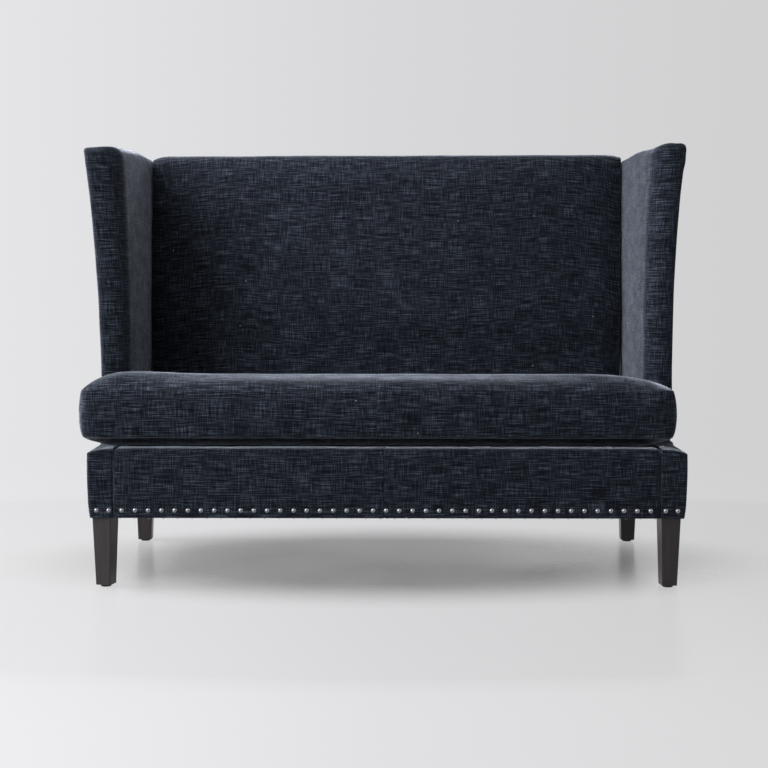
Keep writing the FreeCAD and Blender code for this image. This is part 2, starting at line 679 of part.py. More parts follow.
def make_wing(name, side):
    """One wing: its padded cover and its boards."""
    gap, top, seam = size("fit_gap"), size("frame_top"), size("wing_seam")
    past = size("post_depth")
    room = wing_room(size("rail_top") - past, top + gap, 0.0, past, seam, -past)
    pad = wing_envelope().cut([room, wing_rear_room(past)])
    keep(feature("wing_cover_" + name, mirrored(pad.Solids[0], side)), "wing_inside_cover_" + name)

    backing = -size("cover_thick") - size("board_play")
    room = wing_room(size("rail_top"), top, gap, backing, seam + gap, 0.0)
    board = feature("wing_board_room_" + name, mirrored(room, side))
    blank_wide = "2 * (wing_out_rear - post_inner) + rail_thick"
    across = "post_inner - rail_thick" if side > 0 else f"-1 * (post_inner - rail_thick + {blank_wide})"
    rear = "cover_thick + post_depth"
    post_back = "wing_seam + fit_gap + wing_post_deep"
    pieces = {
        "wing_post_": [
            ("wing_seam", "rail_top"),
            (post_back, "rail_top"),
            (post_back, "frame_top"),
            ("wing_seam", "frame_top"),
        ],
        "wing_top_rail_": [
            (post_back, "top_rail_low"),
            (rear_line("top_rail_low", rear), "top_rail_low"),
            (rear_line("frame_top", rear), "frame_top"),
            (post_back, "frame_top"),
        ],
        "wing_tacking_rail_": [
            (post_back, "tack_rail_low"),
            (rear_line("tack_rail_low", rear), "tack_rail_low"),
            (rear_line("tack_rail_high", rear), "tack_rail_high"),
            (post_back, "tack_rail_high"),
        ],
    }
    for stem, outline in pieces.items():
        common = doc.addObject("Part::Common", stem + "common_" + name)
        common.Base = board
        common.Tool = side_prism(stem + "blank_" + name, outline, across, blank_wide)
        keep(common, stem + name)


def make_side_cover(name, side):
    """The outside side cover, from the nailed edge up to the wing's top roll."""
    gap, thick = size("fit_gap"), size("cover_thick")
    front = size("wing_seam") + gap
    row, top = size("nail_level"), size("base_top")
    levels = [size("base_bottom"), row]
    levels += [row + (top - row) * share for share in (0.3, 0.55, 0.8)]
    levels += wing_levels(top, size("frame_top"))
    wires = []
    for level in levels:
        outer = side_cover_out(level)
        inner, rear_out = outer - thick, size("wing_out_rear")
        if level < top:
            inner, rear_out = max(inner, size("side_outer") + gap), min(outer, rear_out)
        rear = rear_depth(level, thick + gap) - size("front_face")
        wires.append(plan_wire(level, [
            (inner, front, 0),
            (outer, front, 0),
            (rear_out, rear, 0),
            (max(rear_out - thick, size("side_outer") + gap), rear, 0),
        ]))
    keep(feature("side_cover_" + name, mirrored(loft(wires, True), side)), "outside_side_cover_" + name)


for name, side in SIDES:
    make_wing(name, side)
    make_side_cover(name, side)

# Covers and padding of the base.


def make_facing(name, side):
    """The padded front end of a side: face, small ledge in front of the wing, and outer side."""
    inner, back = size("facing_inner"), size("wing_seam")
    roll, top, row = size("facing_roll"), size("base_top"), size("nail_level")
    pulled = row + 1.6 * size("nail_head")
    rows = [(size("base_bottom"), 0.0), (pulled, 0.0)]
    rows += [(row + share * (top - roll - row), 0.0) for share in (0.4, 0.7, 1.0)]
    for turn in (30, 60, 90):
        angle = math.radians(turn)
        rows.append((top - roll + roll * math.sin(angle), roll * (1 - math.cos(angle))))
    wires = []
    for level, inset in rows:
        recess = size("nail_recess") if level <= pulled else 0.0
        outer = side_cover_out(level) - inset
        drawn = inner + 0.35 * inset
        ease = 1 - 0.6 * inset / roll
        wires.append(plan_wire(level, [
            (drawn, back, 0),
            (drawn, recess + inset, size("facing_inner_round") * ease),
            (outer, recess + inset, roll * ease),
            (outer, back, 0),
        ]))
    block = loft(wires, True)
    low, left = size("base_bottom") - roll, inner - roll
    timber = Part.makeBox(
        size("side_outer") + size("fit_gap") - left, back, size("rail_top") - low,
        Vector(left, size("front_face") + size("pad_depth"), low))
    blank = feature("facing_blank_" + name, mirrored(block.cut(timber), side))
    keep(cut_by("facing_" + name, blank, [nails]), "front_facing_" + name)


def make_front_cover():
    """The padded front panel, rolled over the front rail to the seat deck."""
    half, top = size("panel_half"), size("base_top")
    low, recess, pad = size("base_bottom"), size("nail_recess"), size("pad_depth")
    under = size("hessian_low") + size("hessian_thick") + size("fit_gap")
    rear = size("deck_front") - size("fit_gap")
    end, bend = size("panel_end_round"), size("panel_bend")
    pulled = size("nail_level") + 2.2 * size("nail_head")
    ends = [(half, end), (half - 0.5 * end, 0.4 * end), (half - 1.8 * end, 0.0)]
    left_end = [(-across, inset) for across, inset in ends]
    wires = []
    for across, inset in left_end + ends[::-1]:
        wires.append(side_wire(across, [
            (pad, low, 0),
            (recess + inset, low, 0.5 * recess),
            (recess + inset, pulled, bend),
            (inset, pulled + 0.8 * bend, bend),
            (inset, top - inset, size("panel_roll")),
            (rear, top - inset, 0.5 * recess),
            (rear, under, 0),
            (pad, under, 0),
        ]))
    blank = feature("front_cover_blank", loft(wires, True))
    keep(cut_by("front_cover", blank, [nails]), "front_rail_cover")


def make_deck():
    """Hessian on the springs, padding, and the plain deck cloth that the cushion lies on."""
    level = "hessian_low"
    for name, thick in (("spring_hessian", "hessian_thick"), ("seat_deck_pad", "deck_pad_thick"),
                        ("seat_deck_cloth", "deck_cloth_thick")):
        layer = box(name + "_layer", "-1 * deck_half", "deck_front", level,
                    "2 * deck_half", "deck_rear - deck_front", thick)
        keep(layer, name)
        level += " + " + thick


def make_dust_cover():
    """Black cloth under the frame, cut round the legs."""
    deep = "rear_foot - cover_thick - pad_depth - 2 * dust_inset"
    sheet_cloth = box("dust_cover_box", "-1 * (side_outer - dust_inset)", "pad_depth + dust_inset",
                      "dust_low", "2 * (side_outer - dust_inset)", deep, "dust_thick")
    notches = []
    for name, side, depth in LEGS:
        corner = f"{side} * leg_half_span - dust_notch"
        notches.append(box("notch_" + name, corner, f"{depth} - dust_notch", "dust_low - dust_thick",
                           "2 * dust_notch", "2 * dust_notch", "3 * dust_thick"))
    keep(cut_by("dust_cover", sheet_cloth, notches), "dust_cover")


for name, side in SIDES:
    make_facing(name, side)
make_front_cover()
make_deck()
make_dust_cover()

# Springs and webbing.


def make_springs():
    """Zigzag seat springs: straight bars joined by half turns, front clip to rear clip."""
    radius, level = size("wire_radius"), size("wire_level")
    front = size("front_face") + size("spring_front")
    pitch = (size("spring_rear") - size("spring_front")) / SPRING_TURNS
    half = size("spring_bar_half")
    springs = []
    for number in range(SPRING_COUNT):
        middle = (number - (SPRING_COUNT - 1) / 2) * size("spring_step")
        edges = []
        for turn in range(SPRING_TURNS + 1):
            way = 1 if turn % 2 == 0 else -1
            y = front + turn * pitch
            start = Vector(middle - way * half, y, level)
            end = Vector(middle + way * half, y, level)
            edges.append(Part.LineSegment(start, end).toShape())
            if turn < SPRING_TURNS:
                apex = end + Vector(way * pitch / 2, pitch / 2, 0)
                edges.append(Part.Arc(end, apex, end + Vector(0, pitch, 0)).toShape())
        path = Part.Wire(edges)
        section = Part.Wire([Part.Circle(edges[0].valueAt(0), Vector(1, 0, 0), radius).toShape()])
        springs.append(path.makePipeShell([section], True, False))
    keep(feature("springs_shape", Part.makeCompound(springs)), "seat_springs")


def make_clips():
    """A curled clip at each end of each spring, fixed to the top of the rail."""
    clips = []
    wall, wide, tail_long = size("clip_thick"), size("clip_wide"), size("clip_tail")
    inner = size("wire_level") - size("rail_top") - wall
    for number in range(SPRING_COUNT):
        left = (number - (SPRING_COUNT - 1) / 2) * size("spring_step") - wide / 2
        for depth, way in ((size("spring_front"), -1), (size("spring_rear"), 1)):
            spot = Vector(left, size("front_face") + depth, size("wire_level"))
            curl = Part.makeCylinder(inner + wall, wide, spot, Vector(1, 0, 0))
            start = spot.y - tail_long if way < 0 else spot.y
            tail = Part.makeBox(wide, tail_long, wall, Vector(left, start, size("rail_top")))
            bore = Part.makeCylinder(inner, wide, spot, Vector(1, 0, 0))
            clips.append(curl.fuse(tail).cut(bore).removeSplitter())
    keep(feature("clips_shape", Part.makeCompound(clips)), "spring_clips")


def make_webbing():
    """Upright webbing across the back frame, behind the inside back."""
    strips = []
    inset = size("cover_thick") + size("rail_thick")
    low, high = size("tack_rail_low") + 4, size("frame_top") - 6
    for number in range(WEB_COUNT):
        left = (number - (WEB_COUNT - 1) / 2) * size("web_step") - size("web_wide") / 2
        wire = Part.makePolygon([
            Vector(left, rear_depth(level, deep), level)
            for level, deep in (
                (low, inset + size("web_thick")),
                (low, inset),
                (high, inset),
                (high, inset + size("web_thick")),
                (low, inset + size("web_thick")),
            )
        ])
        strips.append(Part.Face(wire).extrude(Vector(size("web_wide"), 0, 0)))
    keep(feature("webbing_shape", Part.makeCompound(strips)), "back_webbing")


make_springs()
make_clips()
make_webbing()

# The back's padding and outside cover.


def make_inside_back():
    """Padded inside back: leaning face, rolled top that dips towards the wings."""
    layers = ("hessian_low", "hessian_thick", "deck_pad_thick", "deck_cloth_thick", "fit_gap")
    low = sum(size(layer) for layer in layers)
    top = size("frame_top") + size("fit_gap")
    behind = size("cover_thick") + size("rail_thick") + size("web_thick") + size("fit_gap")
    drop = size("back_crest") - size("back_crest_end")
    shape = ((1.0, 1.0), (0.988, 0.62), (0.965, 0.25), (0.93, 0.05))
    stations = [(-reach, ease) for reach, ease in shape] + [(reach, ease) for reach, ease in reversed(shape)]
    wires = []
    for reach, ease in stations:
        crest = size("back_crest") - drop * ease
        inset = size("back_end_round") * ease
        rear, roll = rear_depth(crest) - size("front_face"), size("crest_roll_rear")
        lean = size("back_lean")
        foot = size("back_seat_depth") + inset
        wires.append(side_wire(reach * size("back_pad_half"), [
            (rear_depth(low, behind) - size("front_face"), low, 0),
            (foot, low, size("back_foot_round")),
            (foot + (crest - low) * lean, crest, size("crest_roll_front")),
            (rear - inset * 0.4, crest, roll + (size("crest_roll_end") - roll) * ease),
            (rear_depth(top) - size("front_face") - inset * 0.4, top, 0),
            (rear_depth(top, behind) - size("front_face"), top, 0),
        ]))
    keep(feature("inside_back_shape", loft(wires, True)), "inside_back_cover")


def make_outside_back():
    """Flat outside back with its corners eased."""
    body = side_prism("outside_back_body", [
        (rear_line("base_bottom", "cover_thick"), "base_bottom"),
        (rear_line("base_bottom", "0"), "base_bottom"),
        (rear_line("frame_top", "0"), "frame_top"),
        (rear_line("frame_top", "cover_thick"), "frame_top"),
    ], "-1 * (wing_out_rear - 2)", "2 * (wing_out_rear - 2)")
    keep(body, "outside_back_cover")


make_inside_back()
make_outside_back()

# Legs.


def make_leg(name, side, depth):
    """A square leg tapering to the foot, bored for its bolt and its glide's nail."""
    body = doc.addObject("PartDesign::Body", "leg_blank_" + name)
    profiles = []
    for end, level in (("foot", "glide_high"), ("top", "leg_top_level")):
        half, edge = f"leg_{end}_side / 2", "leg_edge"
        corners = []
        for a, b in ((1, 1), (-1, 1), (-1, -1), (1, -1)):
            first = (f"{a} * ({half} - {edge})", f"{b} * {half}")
            second = (f"{a} * {half}", f"{b} * ({half} - {edge})")
            corners += [second, first] if a * b > 0 else [first, second]
        sketch = polygon_sketch(body, f"leg_{end}_{name}", "XY_Plane", corners)
        bind(sketch, "AttachmentOffset.Base.z", level)
        profiles.append(sketch)
    taper = body.newObject("PartDesign::AdditiveLoft", "leg_taper_" + name)
    taper.Profile = profiles[0]
    taper.Sections = [profiles[1]]
    if name.startswith("front"):
        upright = FreeCAD.Rotation(Vector(0, 0, 1), 1)
        body.Placement = FreeCAD.Placement(Vector(0, 0, 0), upright)
        bind(body, "Placement.Rotation.Angle", f"turn_{name}")
    place(body, f"{side} * leg_half_span", depth, "0")
    keep(cut_by("leg_" + name, body, [bolts, glides]), "leg_" + name)


for name, side, depth in LEGS:
    make_leg(name, side, depth)

# The loose cushion.


def cushion_solid(shell):
    """The cushion's form drawn in by a shell thickness: drawn-in sides, seams, crown, T outline."""
    low, high = size("cushion_seam_low"), size("cushion_seam_high")
    bottom, crown = size("cushion_low") + shell, size("cushion_crown") - shell
    pull, under, wall, above = size("cushion_seam_pull"), low - bottom, high - low, crown - high
    # Each row: height, how far the outline is drawn in, and its share of the top's tilt.
    rows = [
        (bottom, 60.0, 0.0),
        (bottom + 0.15 * under, 36.0, 0.0),
        (bottom + 0.5 * under, 16.0, 0.05),
        (low, pull, 0.15),
        (low + 0.24 * wall, 1.0, 0.3),
        (low + 0.5 * wall, 0.0, 0.5),
        (low + 0.76 * wall, 1.0, 0.8),
        (high, pull, 1.0),
        (high + 0.42 * above, 14.0, 1.0),
        (high + 0.76 * above, 31.0, 1.0),
        (high + 0.94 * above, 54.0, 1.0),
        (crown, 80.0, 1.0),
    ]
    wires = []
    for level, inset, tilt in rows:
        inset += shell
        ease = max(1 - inset / 110, 0.25)
        nose, rear = size("cushion_nose") + inset, size("cushion_rear") - inset
        ear = size("ear_rear") - inset
        wide, shift = size("cushion_half") - inset, size("cushion_shift")
        neck, neck_shift = size("neck_half") - inset, size("neck_shift")
        corners = [
            (shift - wide, nose, size("ear_round") * ease),
            (shift + wide, nose, size("ear_round") * ease),
            (shift + wide, ear, size("ear_rear_round") * ease),
            (neck_shift + neck, ear, size("neck_round")),
            (neck_shift + neck, rear, size("rear_round") * ease),
            (neck_shift - neck, rear, size("rear_round") * ease),
            (neck_shift - neck, ear, size("neck_round")),
            (shift - wide, ear, size("ear_rear_round") * ease),
        ]
        wire = plan_wire(level, corners)
        wire.rotate(Vector(0, size("front_face"), level), Vector(1, 0, 0), -tilt * size("cushion_tilt"))
        wires.append(wire)
    return loft(wires)


def make_cushion():
    outer = cushion_solid(0.0)
    cover = outer.cut(cushion_solid(size("cushion_cover_thick")))
    keep(feature("cushion_cover_shape", cover.Solids[0]), "cushion_cover")
    core = cushion_solid(size("cushion_cover_thick") + size("fit_gap"))
    keep(feature("cushion_foam_shape", core), "cushion_foam_core")


def make_zip():
    """The zip along the cushion's rear, with its slider at the left end."""
    across, long = "neck_shift - zip_half", "2 * zip_half"
    depth = "cushion_rear + zip_stand"
    tape = box("zip_tape_box", across, depth, "zip_level - zip_wide / 2", long, "zip_thick", "zip_wide")
    coil = box("zip_coil_box", across, f"{depth} + zip_thick", "zip_level - zip_teeth_wide / 2",
               long, "zip_teeth_high", "zip_teeth_wide")
    keep(fused("zip_tape_fuse", tape, coil), "cushion_zip")
    start = f"{depth} + zip_thick + zip_teeth_high + fit_gap"
    left = f"{across} + zip_slider_from"
    slider = box("slider_body_box", left, start, "zip_level - zip_slider_wide / 2",
                 "zip_slider_long", "zip_slider_thick", "zip_slider_wide")
    tab = box("slider_tab_box", f"{left} + (zip_slider_long - zip_tab_wide) / 2", start,
              "zip_level - zip_tab_top - zip_tab_long", "zip_tab_wide", "zip_tab_thick", "zip_tab_long")
    keep(fused("zip_slider_fuse", slider, tab), "cushion_zip_slider")


make_cushion()
make_zip()
doc.recompute()

for item in doc.Objects:
    if "Invalid" in item.State or "Error" in item.State:
        raise RuntimeError(f"{item.Label} did not build: {item.State}")
for item in subparts:
    if item.Shape.isNull() or not item.Shape.isValid():
        raise RuntimeError(f"{item.Label} has no valid shape")
    if not item.Shape.Solids or min(solid.Volume for solid in item.Shape.Solids) <= 0:
        raise RuntimeError(f"{item.Label} has no solid")

os.makedirs("parts", exist_ok=True)
for item in subparts:
    item.Shape.exportStep(f"parts/{item.Label}.step")
    box_of = item.Shape.BoundBox
    print(f"{item.Label}: {len(item.Shape.Solids)} solid(s), {item.Shape.Volume / 1000:.0f} cm3, "
          f"x {box_of.XMin:.1f} {box_of.XMax:.1f}, y {box_of.YMin:.1f} {box_of.YMax:.1f}, "
          f"z {box_of.ZMin:.1f} {box_of.ZMax:.1f}")
print(len(subparts), "sub-parts")
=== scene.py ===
# High back settee in slubbed navy velvet: two flared wings, a tight back, a nailed front and one
# loose T-shaped cushion. Lengths are in millimetres until a mesh is made; depths count back from the
# face of the front panel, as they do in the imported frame.
import bpy
import bmesh
import json
from math import asin, cos, exp, pi, radians, sin, sqrt, tan
from mathutils import Matrix, Vector, noise

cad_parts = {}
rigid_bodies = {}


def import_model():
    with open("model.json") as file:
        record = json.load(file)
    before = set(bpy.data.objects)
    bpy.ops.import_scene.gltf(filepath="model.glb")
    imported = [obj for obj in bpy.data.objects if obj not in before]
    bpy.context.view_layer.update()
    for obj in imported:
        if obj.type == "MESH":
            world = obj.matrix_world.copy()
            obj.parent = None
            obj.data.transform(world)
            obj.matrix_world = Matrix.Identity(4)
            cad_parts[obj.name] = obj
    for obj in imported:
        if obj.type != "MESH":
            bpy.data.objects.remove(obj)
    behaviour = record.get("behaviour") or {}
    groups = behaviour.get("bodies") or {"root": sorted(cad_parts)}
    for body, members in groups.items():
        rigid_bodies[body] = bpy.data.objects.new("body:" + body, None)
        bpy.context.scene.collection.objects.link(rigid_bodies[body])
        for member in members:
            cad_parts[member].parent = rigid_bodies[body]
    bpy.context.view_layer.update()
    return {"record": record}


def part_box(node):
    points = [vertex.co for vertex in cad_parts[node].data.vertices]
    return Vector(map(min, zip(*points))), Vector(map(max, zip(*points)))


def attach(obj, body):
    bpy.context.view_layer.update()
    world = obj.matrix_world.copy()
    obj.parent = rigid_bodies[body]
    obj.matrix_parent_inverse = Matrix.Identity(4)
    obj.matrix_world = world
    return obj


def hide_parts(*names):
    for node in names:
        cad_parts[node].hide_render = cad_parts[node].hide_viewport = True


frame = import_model()
mm = 0.001


def nodeBox(node):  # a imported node's corners in millimetres
    low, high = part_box(node)
    return low / mm, high / mm


panelLow, panelHigh = nodeBox("front_rail_cover")
backLow, backHigh = nodeBox("outside_back_cover")
nailLow, nailHigh = nodeBox("nail_heads")
faceY = panelLow.y
baseBottom = panelLow.z
baseTop = panelHigh.z
shelf = backHigh.z + 0.3  # the padding's rest on top of the timber and the outside covers
coverThick = 6.0
rake = (backHigh.y - backLow.y - coverThick) / (backHigh.z - backLow.z)


def rearY(level, inset=0.0):  # the raked rear face at a height
    return backLow.y + coverThick + (level - backLow.z) * rake - inset


def uneven(point, span, seed):  # smooth unevenness between -1 and 1
    return noise.noise(point / span + Vector((seed * 7.31, seed * 3.17, seed * 5.71)))


def lumps(point, seed, layers):  # layers are (height, span) of the wadding's lumps
    return sum(height * uneven(point, span, seed + n) for n, (height, span) in enumerate(layers))


def bell(distance, width):
    return exp(-(distance / width) ** 2)


def clamp(value):
    return min(max(value, 0.0), 1.0)


def ramp(value, start, end):
    share = clamp((value - start) / (end - start))
    return share * share * (3 - 2 * share)


# Skins are lofted through rings of points, with cloth coordinates measured along them.

def roundedPath(corners):
    # corners are (x, y, radius, pieces in the arc, pieces in the run after it), round a closed outline
    arcs = []
    count = len(corners)
    for k, (x, y, radius, turns, runs) in enumerate(corners):
        here = Vector((x, y))
        if turns == 0:
            arcs.append([here])
            continue
        back = (Vector(corners[k - 1][:2]) - here).normalized()
        ahead = (Vector(corners[(k + 1) % count][:2]) - here).normalized()
        half = back.angle(ahead) / 2
        centre = here + (back + ahead).normalized() * (radius / sin(half))
        first = here + back * (radius / tan(half)) - centre
        last = here + ahead * (radius / tan(half)) - centre
        sweep = pi - 2 * half
        arc = []
        for n in range(turns + 1):
            spoke = first * sin(sweep * (1 - n / turns)) + last * sin(sweep * n / turns)
            arc.append(centre + spoke / sin(sweep))
        arcs.append(arc)
    points = []
    for k, arc in enumerate(arcs):
        points += arc
        ahead = arcs[(k + 1) % count][0]
        runs = corners[k][4]
        points += [arc[-1].lerp(ahead, n / runs) for n in range(1, runs)]
    return points


def pushOut(rings, amount):
    # move each point along its outward normal by amount(j, point), j counting round the ring
    moved = []
    count = len(rings[0])
    for i, ring in enumerate(rings):
        above = rings[min(i + 1, len(rings) - 1)]
        below = rings[max(i - 1, 0)]
        row = []
        for j, point in enumerate(ring):
            along = ring[(j + 1) % count] - ring[j - 1]
            normal = (above[j] - below[j]).cross(along).normalized()
            row.append(point + normal * amount(j, point))
        moved.append(row)
    return moved


def unroll(rings, turned=False, cut=(0.0, 0.0)):
    # cloth coordinates in metres, and where on the roll the piece is cut from
    rows = []
    climb = 0.0
    for i, ring in enumerate(rings):
        if i:
            steps = [(a - b).length for a, b in zip(ring, rings[i - 1])]
            climb += sum(steps) / len(steps)
        run = 0.0
        row = []
        for j in range(len(ring) + 1):
            if j:
                run += (ring[j % len(ring)] - ring[j - 1]).length
            spot = (climb, run) if turned else (run, climb)
            row.append((spot[0] * mm + cut[0], spot[1] * mm + cut[1]))
        rows.append(row)
    return rows


def addObject(name, data):
    made = bpy.data.objects.new(name, data)
    bpy.context.scene.collection.objects.link(made)
    return made


def makePiece(name, points, faces, corners, material, sharp=55.0):
    # a mesh piece from millimetre points, with one cloth coordinate for each face corner
    mesh = bpy.data.meshes.new(name)
    mesh.from_pydata([point * mm for point in points], [], faces)
    mesh.materials.append(material)
    if corners:
        layer = mesh.uv_layers.new(name="cloth")
        layer.data.foreach_set("uv", [value for spot in corners for value in spot])
    work = bmesh.new()
    work.from_mesh(mesh)
    bmesh.ops.recalc_face_normals(work, faces=work.faces)
    work.to_mesh(mesh)
    work.free()
    mesh.shade_smooth()
    mesh.set_sharp_from_angle(angle=radians(sharp))
    return addObject(name, mesh)


def loft(name, rings, material, turned=False, cut=(0.0, 0.0), mirror=False):
    # a closed skin through the rings with flat ends; mirror makes the left-hand piece
    uvs = unroll(rings, turned, cut)
    count = len(rings[0])
    faces = []
    corners = []
    for i in range(len(rings) - 1):
        for j in range(count):
            k = (j + 1) % count
            faces.append((i * count + j, i * count + k, (i + 1) * count + k, (i + 1) * count + j))
            corners += [uvs[i][j], uvs[i][j + 1], uvs[i + 1][j + 1], uvs[i + 1][j]]
    for i in (0, len(rings) - 1):
        faces.append([i * count + j for j in range(count)])
        for point in rings[i]:
            flat = (point.y, point.z) if turned else (point.x, point.y)
            corners.append((flat[0] * mm + cut[0], flat[1] * mm + cut[1]))
    side = -1.0 if mirror else 1.0
    points = [Vector((point.x * side, point.y, point.z)) for ring in rings for point in ring]
    return makePiece(name, points, faces, corners, material)


def plainMesh(piece):  # what the modifiers make of a piece
    graph = bpy.context.evaluated_depsgraph_get()
    mesh = bpy.data.meshes.new_from_object(piece.evaluated_get(graph), depsgraph=graph)
    piece.modifiers.clear()
    return mesh


def applyModifiers(piece):  # the evaluated mesh takes the place of the modifiers
    piece.data = plainMesh(piece)
    piece.data.name = piece.name


def smoothOff(piece):
    smoother = piece.modifiers.new("rounding", "SUBSURF")
    smoother.levels = smoother.render_levels = 1


def seat(piece, body, slot, *nodes, fill=None):
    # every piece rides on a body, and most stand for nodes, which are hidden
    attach(piece, body)
    if nodes:
        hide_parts(*nodes)


# Finishes. Colours are sRGB hex; pattern scales come from real millimetres.

def linear(code):
    shares = [int(code[k:k + 2], 16) / 255 for k in (0, 2, 4)]
    return [s / 12.92 if s <= 0.04045 else ((s + 0.055) / 1.055) ** 2.4 for s in shares] + [1.0]


def plug(tree, node, inputs):
    # an input takes a plain value, a socket, or a node, which gives its first live output
    for key, value in inputs.items():
        if isinstance(value, bpy.types.Node):
            value = next(socket for socket in value.outputs if socket.enabled)
        if isinstance(value, bpy.types.NodeSocket):
            tree.links.new(value, node.inputs[key])
        else:
            node.inputs[key].default_value = value


def addNode(tree, kind, inputs=None, stops=(), **settings):
    # stops are a colour ramp's places and colours
    node = tree.nodes.new(kind)
    for name, value in settings.items():
        setattr(node, name, value)
    for _ in stops[2:]:
        node.color_ramp.elements.new(0.5)
    for number, (place, code) in enumerate(stops):
        node.color_ramp.elements[number].position = place
        node.color_ramp.elements[number].color = linear(code)
    plug(tree, node, inputs or {})
    return node


def startFinish(name, shaderInputs):
    material = bpy.data.materials.new(name)
    material.use_nodes = True
    tree = material.node_tree
    tree.nodes.clear()
    shader = addNode(tree, "ShaderNodeBsdfPrincipled", shaderInputs)
    addNode(tree, "ShaderNodeOutputMaterial", {"Surface": shader})
    return material, tree, shader


def threads(tree, source, across, along, detail, low, high, shift):
    # noise drawn out into threads, across and along in millimetres, cut to the share from low to high
    stretched = addNode(tree, "ShaderNodeMapping", {
        "Vector": source,
        "Location": (shift, shift * 0.7, 0.0),
        "Scale": (1000 / across, 1000 / along, 1.0),
    })
    field = addNode(tree, "ShaderNodeTexNoise", {
        "Vector": stretched, "Scale": 1.0, "Detail": detail, "Roughness": 0.6,
    }, noise_dimensions="2D")
    return addNode(tree, "ShaderNodeMapRange", {"Value": field, "From Min": low, "From Max": high})


velvetLook = {
    "slubLong": 62.0,
    "slubThick": 2.4,  # real slubs are near 1.5 mm, drawn as coarse as they show
    "warpLong": 46.0,
    "warpThick": 2.4,
    "grain": 1.3,
    "patch": 120.0,
    "crush": 34.0,
    "brushLong": 78.0,
    "brushWide": 30.0,
    "lintEvery": 190.0,
    "lintSize": 1.9,
    "lintShare": 0.25,
    "lint": "9a9fa6",
    "sheen": "e2ecff",
    "tones": [(0.22, "090c11"), (0.42, "14181f"), (0.54, "1f232b"), (0.68, "313641"), (0.9, "525966")],
}


def velvetFinish():
    # cut-pile velvet woven with slubs: short pile goes dark face on and pale at a glancing angle
    look = velvetLook
    material, tree, shader = startFinish("slubbed_velvet", {
        "Specular IOR Level": 0.05, "Sheen Roughness": 0.33, "Sheen Tint": linear(look["sheen"]),
    })
    cloth = addNode(tree, "ShaderNodeUVMap", uv_map="cloth")
    strands = [  # across and along the thread in millimetres, detail, share of the tone
        (look["slubLong"], look["slubThick"], 1.0, 0.38),
        (look["slubLong"] * 0.4, look["slubThick"] * 0.8, 0.0, 0.14),
        (look["warpThick"], look["warpLong"], 1.0, 0.25),
        (look["warpThick"] * 0.7, look["warpLong"] * 0.5, 0.0, 0.13),
        (look["patch"], look["patch"] * 0.5, 2.0, 0.06),
        (look["grain"], look["grain"], 0.0, 0.08),
    ]
    tone = 0.0
    for number, (across, along, detail, share) in enumerate(strands):
        strand = threads(tree, cloth, across, along, detail, 0.26, 0.74, 3.1 * number)
        tone = addNode(tree, "ShaderNodeMath", {0: strand, 1: share, 2: tone}, operation="MULTIPLY_ADD")
    colour = addNode(tree, "ShaderNodeValToRGB", {"Fac": tone}, look["tones"])
    cells = addNode(tree, "ShaderNodeTexVoronoi", {
        "Vector": cloth, "Scale": 1000 / look["lintEvery"], "Randomness": 1.0,
    }, voronoi_dimensions="2D")
    speck = addNode(tree, "ShaderNodeMapRange", {
        "Value": cells, "From Min": look["lintSize"] / look["lintEvery"],
        "From Max": 0.4 * look["lintSize"] / look["lintEvery"],
    })
    chosen = addNode(tree, "ShaderNodeMath", {
        0: addNode(tree, "ShaderNodeSeparateColor", {"Color": cells.outputs["Color"]}),
        1: 1 - look["lintShare"],
    }, operation="GREATER_THAN")
    lint = addNode(tree, "ShaderNodeMath", {0: speck, 1: chosen}, operation="MULTIPLY")
    brushed = threads(tree, cloth, look["brushLong"], look["brushWide"], 4.0, 0.34, 0.66, 21.0)
    lying = addNode(tree, "ShaderNodeMapRange", {"Value": brushed, "To Min": 0.66, "To Max": 1.0})
    pile = addNode(tree, "ShaderNodeMapRange", {
        "Value": tone, "From Min": 0.3, "From Max": 0.7, "To Min": 0.76, "To Max": 1.0,
    })
    crush = threads(tree, cloth, look["crush"] * 1.6, look["crush"], 3.0, 0.3, 0.7, 40.0)
    height = addNode(tree, "ShaderNodeMath", {0: crush, 1: 0.9, 2: tone}, operation="MULTIPLY_ADD")
    plug(tree, shader, {
        "Base Color": addNode(tree, "ShaderNodeMix", {
            "Factor": lint, "A": colour, "B": linear(look["lint"]),
        }, data_type="RGBA"),
        "Sheen Weight": addNode(tree, "ShaderNodeMath", {0: lying, 1: pile}, operation="MULTIPLY"),
        "Roughness": addNode(tree, "ShaderNodeMapRange", {"Value": tone, "To Min": 1.0, "To Max": 0.8}),
        "Normal": addNode(tree, "ShaderNodeBump", {"Height": height, "Distance": mm, "Strength": 0.8}),
    })
    return material


